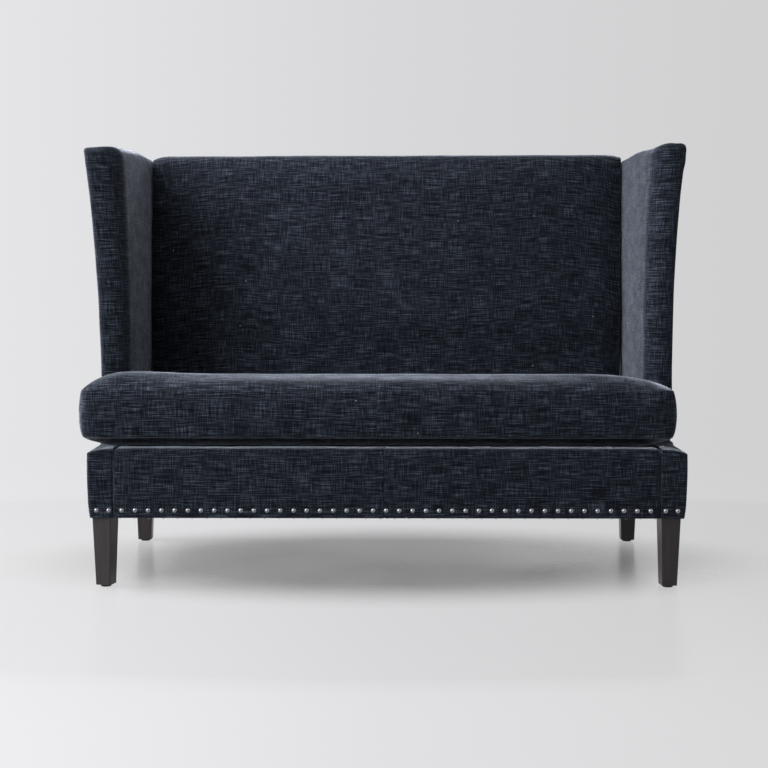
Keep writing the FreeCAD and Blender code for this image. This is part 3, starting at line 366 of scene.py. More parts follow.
def woodFinish(name, stops, grainLong, grainWide, rough, coat):
    # planed hardwood: long fine grain, with pores that hold more of the colour
    material, tree, shader = startFinish(name, {
        "Coat Weight": coat, "Coat Roughness": 0.32, "Specular IOR Level": 0.3,
    })
    spot = addNode(tree, "ShaderNodeTexCoord").outputs["Object"]
    longGrain = addNode(tree, "ShaderNodeMapping", {
        "Vector": spot, "Scale": (1000 / grainWide, 1000 / grainWide, 1000 / grainLong),
    })
    bands = addNode(tree, "ShaderNodeTexNoise", {"Vector": longGrain, "Scale": 1.0, "Detail": 4.0})
    pores = addNode(tree, "ShaderNodeTexNoise", {"Vector": longGrain, "Scale": 3.4, "Detail": 2.0})
    worn = addNode(tree, "ShaderNodeTexNoise", {"Vector": spot, "Scale": 9.0, "Detail": 3.0})
    tone = addNode(tree, "ShaderNodeMix", {"Factor": 0.3, "A": bands, "B": pores})
    plug(tree, shader, {
        "Base Color": addNode(tree, "ShaderNodeValToRGB", {"Fac": tone}, stops),
        "Roughness": addNode(tree, "ShaderNodeMapRange", {
            "Value": worn, "From Min": 0.3, "From Max": 0.7, "To Min": rough - 0.06, "To Max": rough + 0.08,
        }),
        "Normal": addNode(tree, "ShaderNodeBump", {"Height": pores, "Distance": 0.12 * mm, "Strength": 0.5}),
    })
    return material


def metalFinish(name, code, rough, grainSize, bumpDepth):
    # plated or drawn metal: bright, with a faint uneven haze from handling
    material, tree, shader = startFinish(name, {"Metallic": 1.0})
    spot = addNode(tree, "ShaderNodeTexCoord").outputs["Object"]
    haze = addNode(tree, "ShaderNodeTexNoise", {"Vector": spot, "Scale": 1000 / grainSize, "Detail": 3.0})
    plug(tree, shader, {
        "Base Color": addNode(tree, "ShaderNodeMix", {
            "Factor": haze, "A": linear(code), "B": [0.8 * value for value in linear(code)[:3]] + [1.0],
        }, data_type="RGBA"),
        "Roughness": addNode(tree, "ShaderNodeMapRange", {
            "Value": haze, "From Min": 0.3, "From Max": 0.7, "To Min": rough * 0.8, "To Max": rough * 1.3,
        }),
        "Normal": addNode(tree, "ShaderNodeBump", {
            "Height": haze, "Distance": bumpDepth * mm, "Strength": 0.4,
        }),
    })
    return material


def wovenFinish(name, stops, pitch, bumpDepth, rough, ways=("X", "Y")):
    # plain weave: warp and weft of one yarn, its pitch in millimetres, along two of the object's axes
    material, tree, shader = startFinish(name, {"Specular IOR Level": 0.15})
    spot = addNode(tree, "ShaderNodeTexCoord").outputs["Object"]
    warp, weft = [addNode(tree, "ShaderNodeTexWave", {
        "Vector": spot, "Scale": 1000 / pitch / 20, "Distortion": 0.6, "Detail": 1.0,
    }, bands_direction=direction).outputs["Fac"] for direction in ways]
    weave = addNode(tree, "ShaderNodeMath", {0: warp, 1: weft}, operation="MAXIMUM")
    yarn = addNode(tree, "ShaderNodeTexNoise", {"Vector": spot, "Scale": 260.0, "Detail": 3.0})
    twist = addNode(tree, "ShaderNodeMath", {0: yarn, 1: 0.45}, operation="ADD")
    tone = addNode(tree, "ShaderNodeMath", {0: weave, 1: twist}, operation="MULTIPLY")
    plug(tree, shader, {
        "Base Color": addNode(tree, "ShaderNodeValToRGB", {"Fac": tone}, stops),
        "Roughness": addNode(tree, "ShaderNodeMapRange", {
            "Value": yarn, "To Min": rough + 0.08, "To Max": rough - 0.08,
        }),
        "Normal": addNode(tree, "ShaderNodeBump", {
            "Height": tone, "Distance": bumpDepth * mm, "Strength": 1.0,
        }),
    })
    return material


def speckledFinish(name, stops, size, bumpDepth, rough):
    # moulded, foamed or bonded surfaces: small cells or bonds of one size
    material, tree, shader = startFinish(name, {"Specular IOR Level": 0.3})
    spot = addNode(tree, "ShaderNodeTexCoord").outputs["Object"]
    cells = addNode(tree, "ShaderNodeTexVoronoi", {"Vector": spot, "Scale": 1000 / size})
    cloud = addNode(tree, "ShaderNodeTexNoise", {"Vector": spot, "Scale": 14.0, "Detail": 4.0})
    mottle = addNode(tree, "ShaderNodeMath", {0: cloud, 1: 0.6}, operation="MULTIPLY")
    tone = addNode(tree, "ShaderNodeMath", {0: cells, 1: 0.5, 2: mottle}, operation="MULTIPLY_ADD")
    plug(tree, shader, {
        "Base Color": addNode(tree, "ShaderNodeValToRGB", {"Fac": tone}, stops),
        "Roughness": addNode(tree, "ShaderNodeMapRange", {
            "Value": cloud, "To Min": rough - 0.1, "To Max": rough + 0.1,
        }),
        "Normal": addNode(tree, "ShaderNodeBump", {
            "Height": cells, "Distance": bumpDepth * mm, "Strength": 0.7,
        }),
    })
    return material


velvet = velvetFinish()
legTones = [(0.3, "191416"), (0.55, "272122"), (0.8, "352e2f")]
stainedLeg = woodFinish("stained_hardwood", legTones, 140.0, 5.0, 0.36, 0.2)
beechTones = [(0.3, "a9825a"), (0.55, "c09a6e"), (0.8, "d3b287")]
beech = woodFinish("planed_beech", beechTones, 60.0, 4.0, 0.6, 0.0)
nickel = metalFinish("aged_nickel_plate", "8d8d91", 0.2, 4.0, 0.02)
zinc = metalFinish("zinc_plate", "a8aaac", 0.36, 3.0, 0.03)
springWire = metalFinish("tempered_spring_wire", "4a4b4e", 0.42, 6.0, 0.03)
nylonGlide = speckledFinish("moulded_nylon", [(0.2, "141312"), (0.9, "242221")], 1.5, 0.05, 0.5)
dustCloth = speckledFinish("bonded_dust_cloth", [(0.2, "0b0b0d"), (0.9, "1d1d20")], 2.2, 0.15, 0.85)
padFoam = speckledFinish("wadded_foam", [(0.2, "cfc49c"), (0.9, "e6dcb8")], 2.0, 0.3, 0.9)
juteTones = [(0.1, "5e4729"), (0.95, "b39466")]
jute = wovenFinish("woven_jute", juteTones, 2.4, 0.5, 0.9)
juteUpright = wovenFinish("woven_jute_webbing", juteTones, 2.4, 0.5, 0.9, ("X", "Z"))
deckLining = wovenFinish("deck_lining", [(0.1, "0f1116"), (0.95, "23262e")], 1.6, 0.15, 0.88)
zipTape = wovenFinish("zip_tape", [(0.1, "0e1015"), (0.95, "20242c")], 1.2, 0.1, 0.8, ("X", "Z"))
zipNylon = speckledFinish("nylon_coil", [(0.2, "15171d"), (0.9, "2a2e37")], 0.8, 0.02, 0.4)
print("finishes made")

nodeFinishes = {
    "stained_leg": stainedLeg,
    "beech_frame": beech,
    "zinc_steel": zinc,
    "glide_plastic": nylonGlide,
}
for part in frame["record"]["subparts"]:
    if part["material_slot"] in nodeFinishes:
        for holder in bpy.data.objects[part["node"]].material_slots:
            holder.material = nodeFinishes[part["material_slot"]]

# Wings: one padded skin each, open behind for the boards and the post.

wing = {
    "front": 190.0,
    "seam": 222.0,
    "top": 1048.0,
    "flareFrom": 460.0,
    "flareFull": 1048.0,
    "left": {"outer": 699.0, "flare": 39.1, "power": 1.8, "lift": -8.0, "liftTo": 200.0,
             "arch": (5.0, 350.0, 150.0), "corner": 10.0, "fold": 0.3},
    "right": {"outer": 697.8, "flare": 30.5, "power": 3.2, "lift": 7.0, "liftTo": 170.0,
              "arch": (6.5, 310.0, 140.0), "corner": 19.0, "fold": 1.6},
    "outerRear": 699.8,
    "inner": 631.0,
    "open": 17.0,
    "openFrom": 600.0,
    "innerRear": 637.2,
    "innerRoll": 48.0,
    "rollGrows": 9.0,
    "outerRoll": 14.0,
    "topRoll": 26.0,
    "boards": 36.5,
    "postSide": 661.7,
    "postDeep": 58.0,
    "railSide": 638.0,
    "railDeep": 36.3,
    "rows": 70,
    "swell": 2.5,
    "swellDeep": 320.0,
    "crease": 0.7,
    "creaseAt": 66.0,
    "creaseWide": 34.0,
    "lumps": ((1.1, 85.0), (1.2, 230.0)),
    "streak": 0.5,
}


def wingOuter(level, side):
    share = clamp((level - wing["flareFrom"]) / (wing["flareFull"] - wing["flareFrom"]))
    return wing[side]["outer"] + wing[side]["flare"] * share ** wing[side]["power"]


def wingInner(level):
    share = clamp((level - wing["openFrom"]) / (wing["flareFull"] - wing["openFrom"]))
    return wing["inner"] + wing["open"] * share ** 2


def wingRing(side, level, inset, boxed, outset=0.0):
    # inset draws the inner side in over the top roll, and outset the outer side
    ease = 1 - 0.7 * inset / wing["topRoll"]
    front = faceY + wing["front"] + 0.6 * inset
    seam = faceY + wing["seam"]
    rear = rearY(level, inset)
    outer = wingOuter(level, side) - outset
    inner = wingInner(level) + inset
    innerRoll = wing["innerRoll"] + wing["rollGrows"] * ramp(level, 600, 1000)
    outerRear = wing["outerRear"] - outset
    innerRear = wing["innerRear"] + inset

    def outerAt(y):
        return outer + (outerRear - outer) * (y - front) / (rear - front)

    def innerAt(y):
        return inner + (innerRear - inner) * (y - front) / (rear - front)

    near = front + 90.0
    corners = [
        (outerAt(seam), seam, 0, 0, 2),
        (outer, front, wing["outerRoll"] * ease, 9, 8),
        (inner, front, innerRoll * ease, 9, 10),
        (innerAt(near), near, 0, 0, 26),
        (innerRear, rear, 0, 0, 1),
    ]
    if boxed:
        corners += [
            (wing["railSide"], rear, 0, 0, 1),
            (wing["railSide"], rear - wing["railDeep"], 0, 0, 1),
            (wing["postSide"], rear - wing["railDeep"], 0, 0, 1),
            (wing["postSide"], rear - wing["postDeep"], 0, 0, 10),
            (outerAt(seam) - wing["boards"], seam, 0, 0, 2),
        ]
    else:
        width = outerRear - innerRear
        corners += [
            (innerRear + 0.3 * width, rear, 0, 0, 1),
            (innerRear + 0.65 * width, rear, 0, 0, 1),
            (outerRear - 4, rear, 0, 0, 1),
            (outerRear, rear - 4, 0, 0, 10),
            (outerAt(seam + 20), seam + 20, 0, 0, 2),
        ]
    return [Vector((x, y, level)) for x, y in roundedPath(corners)]


def makeWing(side, mirror, seed):
    look = wing[side]
    low = baseTop + 0.3
    rows = wing["rows"]
    rings = [wingRing(side, low + (shelf - low) * n / rows, 0.0, True) for n in range(rows + 1)]
    rings.append(wingRing(side, shelf + 0.1, 0.0, False))
    roll = wing["topRoll"]
    for turn in range(0, 91, 9):
        angle = radians(turn)
        level = wing["top"] - roll + roll * sin(angle)
        over = clamp((level - wing["top"] + look["corner"]) / look["corner"])
        outset = look["corner"] * (1 - sqrt(1 - over * over))
        rings.append(wingRing(side, level, roll * (1 - cos(angle)), False, outset))
    shown = 64  # points from the outer seam round the front to the rear of the inner side
    front = faceY + wing["front"]

    def padding(j, point):
        if j >= shown or j < 2:
            return 0.0
        deep = point.y - front
        height = ramp(point.z, low, low + 60) * (1 - ramp(point.z, shelf - 20, wing["top"]))
        inward = 1 if point.x < wingInner(point.z) + 6 else 0
        swell = wing["swell"] * sin(pi * min(deep / wing["swellDeep"], 1.0)) * height * inward
        wander = 12 * uneven(Vector((0, 0, point.z)), 150.0, seed)
        crease = -wing["crease"] * bell(deep - wing["creaseAt"] - wander, wing["creaseWide"])
        crease *= inward * ramp(point.z, 420, 520)
        corner = Vector((point.x - wingOuter(point.z, side), point.z - wing["top"]))
        fold = look["fold"] * sin((corner.y + 0.9 * corner.x) / 9.0) * bell(corner.length - 42, 22.0)
        fold *= 1 - ramp(deep, 20, 70)
        soft = lumps(point, seed + 1, wing["lumps"])
        soft += wing["streak"] * uneven(Vector((point.x, point.y, point.z / 2.4)), 34.0, seed + 5)
        return swell + crease + fold + soft * height

    rings = pushOut(rings, padding)
    height, centre, width = look["arch"]
    for ring in rings:
        for point in ring:  # the two tops were stuffed a little differently
            deep = point.y - front
            rise = ramp(point.z, shelf + 1, wing["top"] - 4)
            inner = wingInner(point.z)
            across = clamp((point.x - inner) / (wingOuter(point.z, side) - inner))
            point.z += rise * look["lift"] * (1 - ramp(deep, 0, look["liftTo"])) * (0.35 + 0.65 * across)
            point.z += rise * height * bell(deep - centre, width)
    piece = loft("wing_padding_" + side, rings, velvet, cut=(0.3 * seed, 0.17 * seed), mirror=mirror)
    smoothOff(piece)
    seat(piece, "frame", "velvet", "wing_inside_cover_" + side, fill=0.9)


makeWing("left", True, 3)
makeWing("right", False, 4)
print("wings made")

# Inside back: a leaning pad with a rolled top that dips where it meets the wings.

insideBack = {
    "foot": 545.0,
    "lean": 0.1327,
    "crest": 1054.8,
    "crestRise": 3.2,
    "endDrop": (11.0, 7.0),
    "endReach": 0.1,
    "half": 636.1,
    "fullness": 4.0,
    "swell": 15.0,
    "fallFrom": 140.0,
    "fall": 20.0,
    "tuck": 7.0,
    "tuckWide": 70.0,
    "pull": 1.2,
    "pullAt": 1000.0,
    "lumps": ((1.3, 240.0), (0.7, 90.0)),
    "endRound": 10.0,
    "rollFront": 30.0,
    "rollRear": 26.0,
    "rollEnd": 14.0,
    "behind": 37.8,
    "middleStations": 54,
    "endStations": 12,
}


def makeInsideBack():
    size = insideBack
    low = nodeBox("inside_back_cover")[0].z
    endReach = size["endReach"]
    middles, ends = size["middleStations"], size["endStations"]
    inner = [-1 + endReach + n * 2 * (1 - endReach) / middles for n in range(middles + 1)]
    outer = [1 - endReach * (n / ends) ** 1.6 for n in range(ends)]
    rings = []
    for reach in [-reach for reach in outer] + inner + outer[::-1]:
        ease = max((abs(reach) - 1 + endReach) / endReach, 0.0) ** 3
        crest = size["crest"] + size["crestRise"] * reach - size["endDrop"][int(reach > 0)] * ease
        inset = size["endRound"] * ease
        foot = faceY + size["foot"] + inset
        rearRoll = size["rollRear"] + (size["rollEnd"] - size["rollRear"]) * ease
        outline = roundedPath([
            (foot, low, 6.0, 3, 58),
            (foot + (crest - low) * size["lean"], crest, size["rollFront"], 9, 3),
            (rearY(crest) - 0.4 * inset, crest, rearRoll, 8, 3),
            (rearY(shelf) - 0.4 * inset, shelf, 0, 0, 1),
            (rearY(shelf, size["behind"]), shelf, 0, 0, 8),
            (rearY(low, size["behind"]), low, 0, 0, 3),
        ])
        rings.append([Vector((reach * size["half"], y, z)) for y, z in outline])
    shown = 76  # points from the foot of the front over the rolled top

    def padding(j, point):
        if j > shown:
            return 0.0
        side = 1 - (abs(point.x) / size["half"]) ** 4
        rise = ramp(point.z, low + 60, low + 240) * (1 - ramp(point.z, 960, 1050))
        swell = size["fullness"] * side * rise
        soft = lumps(point, 11, size["lumps"])
        wander = 8 * uneven(point, 120.0, 13)
        pull = -size["pull"] * bell(point.z - size["pullAt"] - wander, 14.0) * side
        beyond = max(abs(point.x) - size["fallFrom"], 0.0) / (size["half"] - size["fallFrom"])
        facing = 1 - ramp(point.y - faceY - size["foot"] - (point.z - low) * size["lean"], 4.0, 24.0)
        crown = size["swell"] * ramp(point.z, 490, 640) - size["fall"] * beyond ** 2
        crown -= size["tuck"] * clamp(1 - (size["half"] - point.x) / size["tuckWide"]) ** 1.6
        crown *= facing * (1 - 0.8 * ramp(point.z, 985, 1045))
        return swell + (soft + pull) * (0.3 + 0.7 * side) + crown

    rings = pushOut(rings, padding)
    piece = loft("back_padding", rings, velvet, turned=True, cut=(2.0, 0.4))
    smoothOff(piece)
    seat(piece, "frame", "velvet", "inside_back_cover", fill=0.9)


makeInsideBack()
print("inside back made")

# Front panel and facings, drawn in by the row of nails.

nailRow = {
    "level": (nailLow.z + nailHigh.z) / 2,
    "first": -620.5,
    "step": 30.9,
    "count": 41,
    "facing": (651.0, 679.5),
    "dimple": 1.3,
    "dimpleWide": 8.5,
    "pucker": 0.8,
    "seat": 3.3,
    "radius": 6.2,
    "dome": 3.4,
    "shank": 0.9,
    "shankLong": 22.0,
    "sides": 22,
    "lean": 0.07,
}
nailSpots = [nailRow["first"] + n * nailRow["step"] for n in range(nailRow["count"])]
nailSpots += [side * place for side in (-1, 1) for place in nailRow["facing"]]


def nailPull(point):
    # the cloth is drawn in at each nail and puckers a little above the gaps
    away = min(abs(point.x - spot) for spot in nailSpots)
    up = point.z - nailRow["level"]
    dimple = -nailRow["dimple"] * bell(sqrt(away * away + up * up), nailRow["dimpleWide"])
    pucker = nailRow["pucker"] * cos(2 * pi * away / nailRow["step"] + pi) * bell(up - 14, 12.0)
    return dimple + pucker


frontPanel = {
    "half": 637.8,
    "recess": 2.6,
    "padDeep": 18.0,
    "rearDeep": 62.3,
    "topRoll": 22.0,
    "bend": 25.0,
    "seamAt": -6.4,
    "seamDeep": 1.5,
    "seamWelt": 0.5,
    "swell": 2.2,
    "lumps": ((1.0, 150.0), (0.6, 60.0)),
    "endRound": 4.0,
    "squeeze": 2.2,
    "step": 3.1,
}


def makeFrontPanel():
    size = frontPanel
    half = size["half"]
    seamAt = size["seamAt"]
    count = int(2 * half / size["step"])
    stations = [-half + n * 2 * half / count for n in range(count + 1)]
    stations += [seamAt + side * away for side in (-1, 1) for away in (0.7, 1.5, 2.6)]
    stations += [seamAt] + [side * (half - away) for side in (-1, 1) for away in (0.8, 1.8)]
    under = nodeBox("seat_deck_pad")[0].z + 0.3
    pulled = nailRow["level"] + 2.2 * nailRow["radius"]
    rings = []
    for across in sorted(stations):
        inset = size["endRound"] * max(1 - (half - abs(across)) / 9.0, 0.0) ** 2.5
        face = faceY + inset
        outline = roundedPath([
            (faceY + size["padDeep"], baseBottom, 0, 0, 3),
            (face + size["recess"], baseBottom, 1.5, 2, 12),
            (face + size["recess"], pulled, size["bend"], 3, 1),
            (face, pulled + 0.8 * size["bend"], size["bend"], 3, 22),
            (face, baseTop - inset, size["topRoll"], 9, 8),
            (faceY + size["rearDeep"], baseTop - inset, 1.5, 2, 3),
            (faceY + size["rearDeep"], under, 0, 0, 4),
            (faceY + size["padDeep"], under, 0, 0, 6),
        ])
        rings.append([Vector((across, y, z)) for y, z in outline])
    shown = range(3, 75)  # points from the lower edge over the front to the rear of the top

    def padding(j, point):
        if point.y > faceY + 60 or j not in shown:
            return 0.0
        end = 1 - bell(half - abs(point.x), 26.0)
        rise = ramp(point.z, pulled, pulled + 50) * (1 - 0.6 * ramp(point.z, baseTop - 30, baseTop))
        soft = lumps(point, 21, size["lumps"])
        beside = abs(point.x - seamAt)
        seam = -size["seamDeep"] * bell(beside, 1.5) + size["seamWelt"] * bell(beside - 5, 3.5)
        nails = nailPull(point) if point.z < nailRow["level"] + 45 else 0.0
        return (size["swell"] + soft) * end * rise + seam + nails

    rings = pushOut(rings, padding)
    for ring in rings:
        for point in ring:  # behind the rounded ends the padding fills the joint beside each facing
            deep = min(point.y - faceY, baseTop - point.z)
            if abs(point.x) > half - 0.1:
                point.x += (1 if point.x > 0 else -1) * size["squeeze"] * ramp(deep, 3.0, 9.0)
    piece = loft("front_panel_padding", rings, velvet, turned=True, cut=(4.0, 0.1))
    layer = piece.data.uv_layers["cloth"].data
    for face in piece.data.polygons:  # the right half is cut from another length of cloth
        if face.center.x > seamAt * mm:
            for corner in face.loop_indices:
                layer[corner].uv.x += 0.61
                layer[corner].uv.y += 0.33
    seat(piece, "frame", "velvet", "front_rail_cover", fill=0.9)


facing = {
    "inner": 640.3,
    "outerRoll": 14.0,
    "innerRound": 6.0,
    "crown": 8.0,
    "bottom": 696.0,
    "nails": 698.3,
    "top": 700.4,
    "bow": 1.6,
    "recess": 2.6,
    "slopeFrom": 317.5,
    "slopeWide": 30.0,
    "skin": 692.3,
    "deep": 222.0,
    "padDeep": 18.0,
    "timberTop": 300.3,
    "swell": 1.2,
    "lumps": ((0.5, 60.0),),
    "step": 3.1,
}


def baseSide(level):  # the base's half width at a height: it bows out between the nails and the top
    row = nailRow["level"]
    if level <= row:
        share = (level - baseBottom) / (row - baseBottom)
        return facing["bottom"] + (facing["nails"] - facing["bottom"]) * share
    share = min((level - row) / (baseTop - row), 1.0)
    return facing["nails"] + (facing["top"] - facing["nails"]) * share + facing["bow"] * sin(pi * share)


def makeFacing(side, mirror, seed):
    size = facing
    roll = size["outerRoll"]
    pulled = nailRow["level"] + 1.6 * nailRow["radius"]
    wingFoot = faceY + wing["front"]
    back = faceY + size["deep"]
    padBack = faceY + size["padDeep"]

    def ring(level, inset, boxed):
        recess = size["recess"] * (1 - ramp(level, pulled, pulled + 22))
        front = faceY + recess + inset
        outer = baseSide(level) - inset
        drawn = size["inner"] + 0.35 * inset
        ease = 1 - 0.6 * inset / roll
        if boxed:
            hidden = [(size["skin"], back), (size["skin"], padBack), (drawn, padBack)]
        else:
            hidden = [(outer - 8, back), ((drawn + outer) / 2, back), (drawn, back)]
        slope = ramp(level, size["slopeFrom"], 2 * baseTop - size["slopeFrom"]) * 2
        sloped = outer - size["slopeWide"] * slope
        corners = [(outer, back, 0, 0, 1)]
        corners += [(x, y, 0, 0, runs) for (x, y), runs in zip(hidden, (6, 3, 4))]
        corners += [
            (drawn, front, size["innerRound"] * ease, 5, 14),
            (sloped, front, min(roll * ease, 9.0), 7, 30),
            (sloped, wingFoot - 26, 0, 0, 8),
            (outer, wingFoot - 2, 0, 0, 4),
        ]
        return [Vector((x, y, level)) for x, y in reversed(roundedPath(corners))]

    timberTop, crown = size["timberTop"], size["crown"]
    rise = timberTop - baseBottom
    rows = int(rise / size["step"])
    rings = [ring(baseBottom + rise * n / rows, 0.0, True) for n in range(rows + 1)]
    rings.append(ring(timberTop + 0.1, 0.0, False))
    rings += [ring(timberTop + n * (baseTop - crown - timberTop) / 8, 0.0, False) for n in range(1, 8)]
    for turn in range(0, 91, 10):
        angle = radians(turn)
        rings.append(ring(baseTop - crown + crown * sin(angle), crown * (1 - cos(angle)), False))

    def padding(j, point):
        if point.y > faceY + 16 or point.x < size["inner"] + 1:
            return 0.0
        soft = lumps(point, seed, size["lumps"])
        swell = size["swell"] * ramp(point.z, pulled, pulled + 40) * (1 - ramp(point.z, 300, 329))
        swell *= sin(pi * clamp((point.x - size["inner"]) / 60))
        nails = nailPull(point) if point.z < nailRow["level"] + 30 else 0.0
        return soft + swell + nails

    rings = pushOut(rings, padding)
    piece = loft("facing_padding_" + side, rings, velvet, cut=(5.0 + seed * 0.1, 0.2), mirror=mirror)
    seat(piece, "frame", "velvet", "front_facing_" + side, fill=0.9)


makeFrontPanel()
makeFacing("left", True, 31)
makeFacing("right", False, 32)
print("front panel and facings made")

# Outside covers, blind-stitched along their edges.

outsideCover = {
    "rows": 60,
    "columns": 26,
    "edge": 3.0,
    "swell": 1.6,
}


def makeSideCover(side, mirror, seed):
    front = faceY + wing["seam"] + 0.3
    low, high = nodeBox("outside_side_cover_" + side)
    rings = []
    for n in range(outsideCover["rows"] + 1):
        level = low.z + (high.z - low.z) * n / outsideCover["rows"]
        outer = wingOuter(level, side) + 0.2
        rearOut = wing["outerRear"] + 0.2
        floor = 0.0
        if level < baseTop:  # beside the seat's base the cover follows its bow and lies on its timber
            outer = baseSide(level)
            rearOut = min(outer, rearOut)
            floor = facing["skin"]
        inner = max(outer - coverThick, floor)
        rearIn = max(rearOut - coverThick, floor)
        rear = rearY(level, coverThick + 0.3)
        edge = min(outsideCover["edge"], 0.45 * (outer - inner))
        outline = roundedPath([
            (rearIn, rear, 0, 0, 8),
            (inner, front, 0, 0, 1),
            (outer, front, edge, 3, outsideCover["columns"]),
            (rearOut, rear, edge, 3, 1),
        ])
        rings.append([Vector((x, y, level)) for x, y in reversed(outline)])

    def padding(j, point):
        if point.x < min(wingOuter(point.z, side), wing["outerRear"]) - 12:
            return 0.0
        inside = min(point.y - front, rearY(point.z) - point.y, point.z - low.z, high.z - point.z)
        amount = outsideCover["swell"] * ramp(inside, 0, 45)
        return amount * (0.8 + 0.5 * uneven(point, 170.0, seed))

    rings = pushOut(rings, padding)
    piece = loft("side_cover_" + side, rings, velvet, cut=(7.0 + seed * 0.1, 0.6), mirror=mirror)
    seat(piece, "frame", "velvet", "outside_side_cover_" + side, fill=1.0)


def makeOutsideBack():
    half = backHigh.x
    rings = []
    for n in range(outsideCover["rows"] + 1):
        level = backLow.z + (backHigh.z - backLow.z) * n / outsideCover["rows"]
        outline = roundedPath([
            (-half, rearY(level, coverThick), 0, 0, 1),
            (-half, rearY(level), outsideCover["edge"], 3, 70),
            (half, rearY(level), outsideCover["edge"], 3, 1),
            (half, rearY(level, coverThick), 0, 0, 20),
        ])
        rings.append([Vector((x, y, level)) for x, y in reversed(outline)])

    def padding(j, point):
        if point.y < rearY(point.z) - 1:
            return 0.0
        inside = min(half - abs(point.x), point.z - backLow.z, backHigh.z - point.z)
        return ramp(inside, 0, 50) * (outsideCover["swell"] + 0.8 * uneven(point, 260.0, 41))

    rings = pushOut(rings, padding)
    piece = loft("back_cover", rings, velvet, cut=(9.0, 0.3))
    seat(piece, "frame", "velvet", "outside_back_cover", fill=1.0)


makeSideCover("left", True, 36)
makeSideCover("right", False, 37)
makeOutsideBack()
print("outside covers made")

# The loose cushion: two T-shaped panels and a boxing strip, blown up by a cloth simulation.

cushion = {
    "wide": 700.6,
    "shift": -22.5,
    "neck": 619.0,
    "neckShift": -8.0,
    "nose": -12.0,
    "earRear": 183.0,
    "rear": 543.0,
    "bottom": 329.4,
    "seamLow": 356.0,
    "seamHigh": 466.0,
    "crown": 499.2,
    "seamPull": 9.0,
    "underPull": 1.0,
    "frontRound": 26.0,
    "rearRound": 24.0,
    "tilt": 2.3,
    "crownAt": 60.0,
    "crownFall": 0.034,
    "earLift": 5.5,
    "earFrom": 430.0,
    "earFull": 600.0,
    "shoulders": {"left": 116.0, "right": 205.0, "front": 66.0, "rear": 90.0, "notch": 66.0,
                  "power": 2.3, "sides": 0.82},
    "hollow": 58.0,
    "hollowPower": 1.35,
    "lip": 46.0,
    "grid": 12.0,
    "wallRows": 9,
    "seamAt": -24.0,
    "seamWide": 2.4,
    "seamDeep": 1.3,
    "welt": 2.2,
    "lumps": ((0.9, 120.0), (0.5, 48.0)),
    "cloth": {"mass": 0.3, "tension_stiffness": 12.0, "compression_stiffness": 12.0,
              "shear_stiffness": 4.0, "bending_stiffness": 0.6, "shrink_min": -0.012,
              "uniform_pressure_force": 2.5},
    "frames": 20,
    "cap": 5.0,
}


def cushionLines(stops):  # grid lines that hit every stop
    lines = [stops[0]]
    for low, high in zip(stops, stops[1:]):
        count = max(round((high - low) / cushion["grid"]), 1)
        lines += [low + (high - low) * n / count for n in range(1, count + 1)]
    return lines


def blowUp(piece, heldPoints):
    # a short cloth simulation under pressure; no point may move further than the cap
    size = cushion
    rest = [vertex.co.copy() for vertex in piece.data.vertices]
    held = piece.vertex_groups.new(name="held")
    held.add(heldPoints, 1.0, "REPLACE")
    cloth = piece.modifiers.new("blow", "CLOTH")
    cloth.settings.vertex_group_mass = "held"
    cloth.settings.use_pressure = True
    for name, value in size["cloth"].items():
        setattr(cloth.settings, name, value)
    cloth.settings.effector_weights.gravity = 0.0
    cloth.point_cache.frame_start = 1
    cloth.point_cache.frame_end = size["frames"]
    for number in range(1, size["frames"] + 1):
        bpy.context.scene.frame_set(number)
    applyModifiers(piece)
    piece.vertex_groups.clear()
    bpy.context.scene.frame_set(1)
    for vertex, start in zip(piece.data.vertices, rest):
        move = vertex.co - start
        if move.length > size["cap"] * mm:
            vertex.co = start + move.normalized() * size["cap"] * mm


def smoothCushion(piece, seamPoints, panelFaces):
    # the edges between the panels and the boxing stay creased while the rest is smoothed
    work = bmesh.new()
    work.from_mesh(piece.data)
    work.verts.ensure_lookup_table()
    crease = work.edges.layers.float.new("crease_edge")
    for edge in work.edges:
        joins = {face.index >= panelFaces for face in edge.link_faces}
        if edge.verts[0].index in seamPoints and edge.verts[1].index in seamPoints and len(joins) > 1:
            edge[crease] = 0.9
            edge.seam = True
    work.to_mesh(piece.data)
    work.free()
    smoothOff(piece)
    applyModifiers(piece)


def sewCushion(piece):
    # the middle seam, the welts along the edges and the filling's lumps
    size = cushion
    work = bmesh.new()
    work.from_mesh(piece.data)
    for away in (-size["seamWide"], 0.0, size["seamWide"]):
        whole = list(work.verts) + list(work.edges) + list(work.faces)
        cutAt = ((size["seamAt"] + away) * mm, 0, 0)
        bmesh.ops.bisect_plane(work, geom=whole, dist=1e-6, plane_co=cutAt, plane_no=(1, 0, 0))
    seams = [edge for edge in work.edges if edge.seam]
    bmesh.ops.bevel(work, geom=seams, offset=size["welt"] * mm, segments=2, profile=0.5, affect="EDGES")
    work.normal_update()
    for vertex in work.verts:
        point = vertex.co / mm
        soft = lumps(point, 51, size["lumps"])
        if point.z > size["bottom"] + 4:
            vertex.co += vertex.normal * soft * mm
        if abs(point.x - size["seamAt"]) < 0.5:
            vertex.co -= vertex.normal * size["seamDeep"] * mm
        vertex.co.z = max(vertex.co.z, size["bottom"] * mm)
    layer = work.loops.layers.uv["cloth"]
    for face in work.faces:  # the right half is cut from another length of cloth
        if face.calc_center_median().x > size["seamAt"] * mm:
            for corner in face.loops:
                corner[layer].uv += Vector((0.47, 0.29))
    work.to_mesh(piece.data)
    work.free()
    piece.data.shade_smooth()


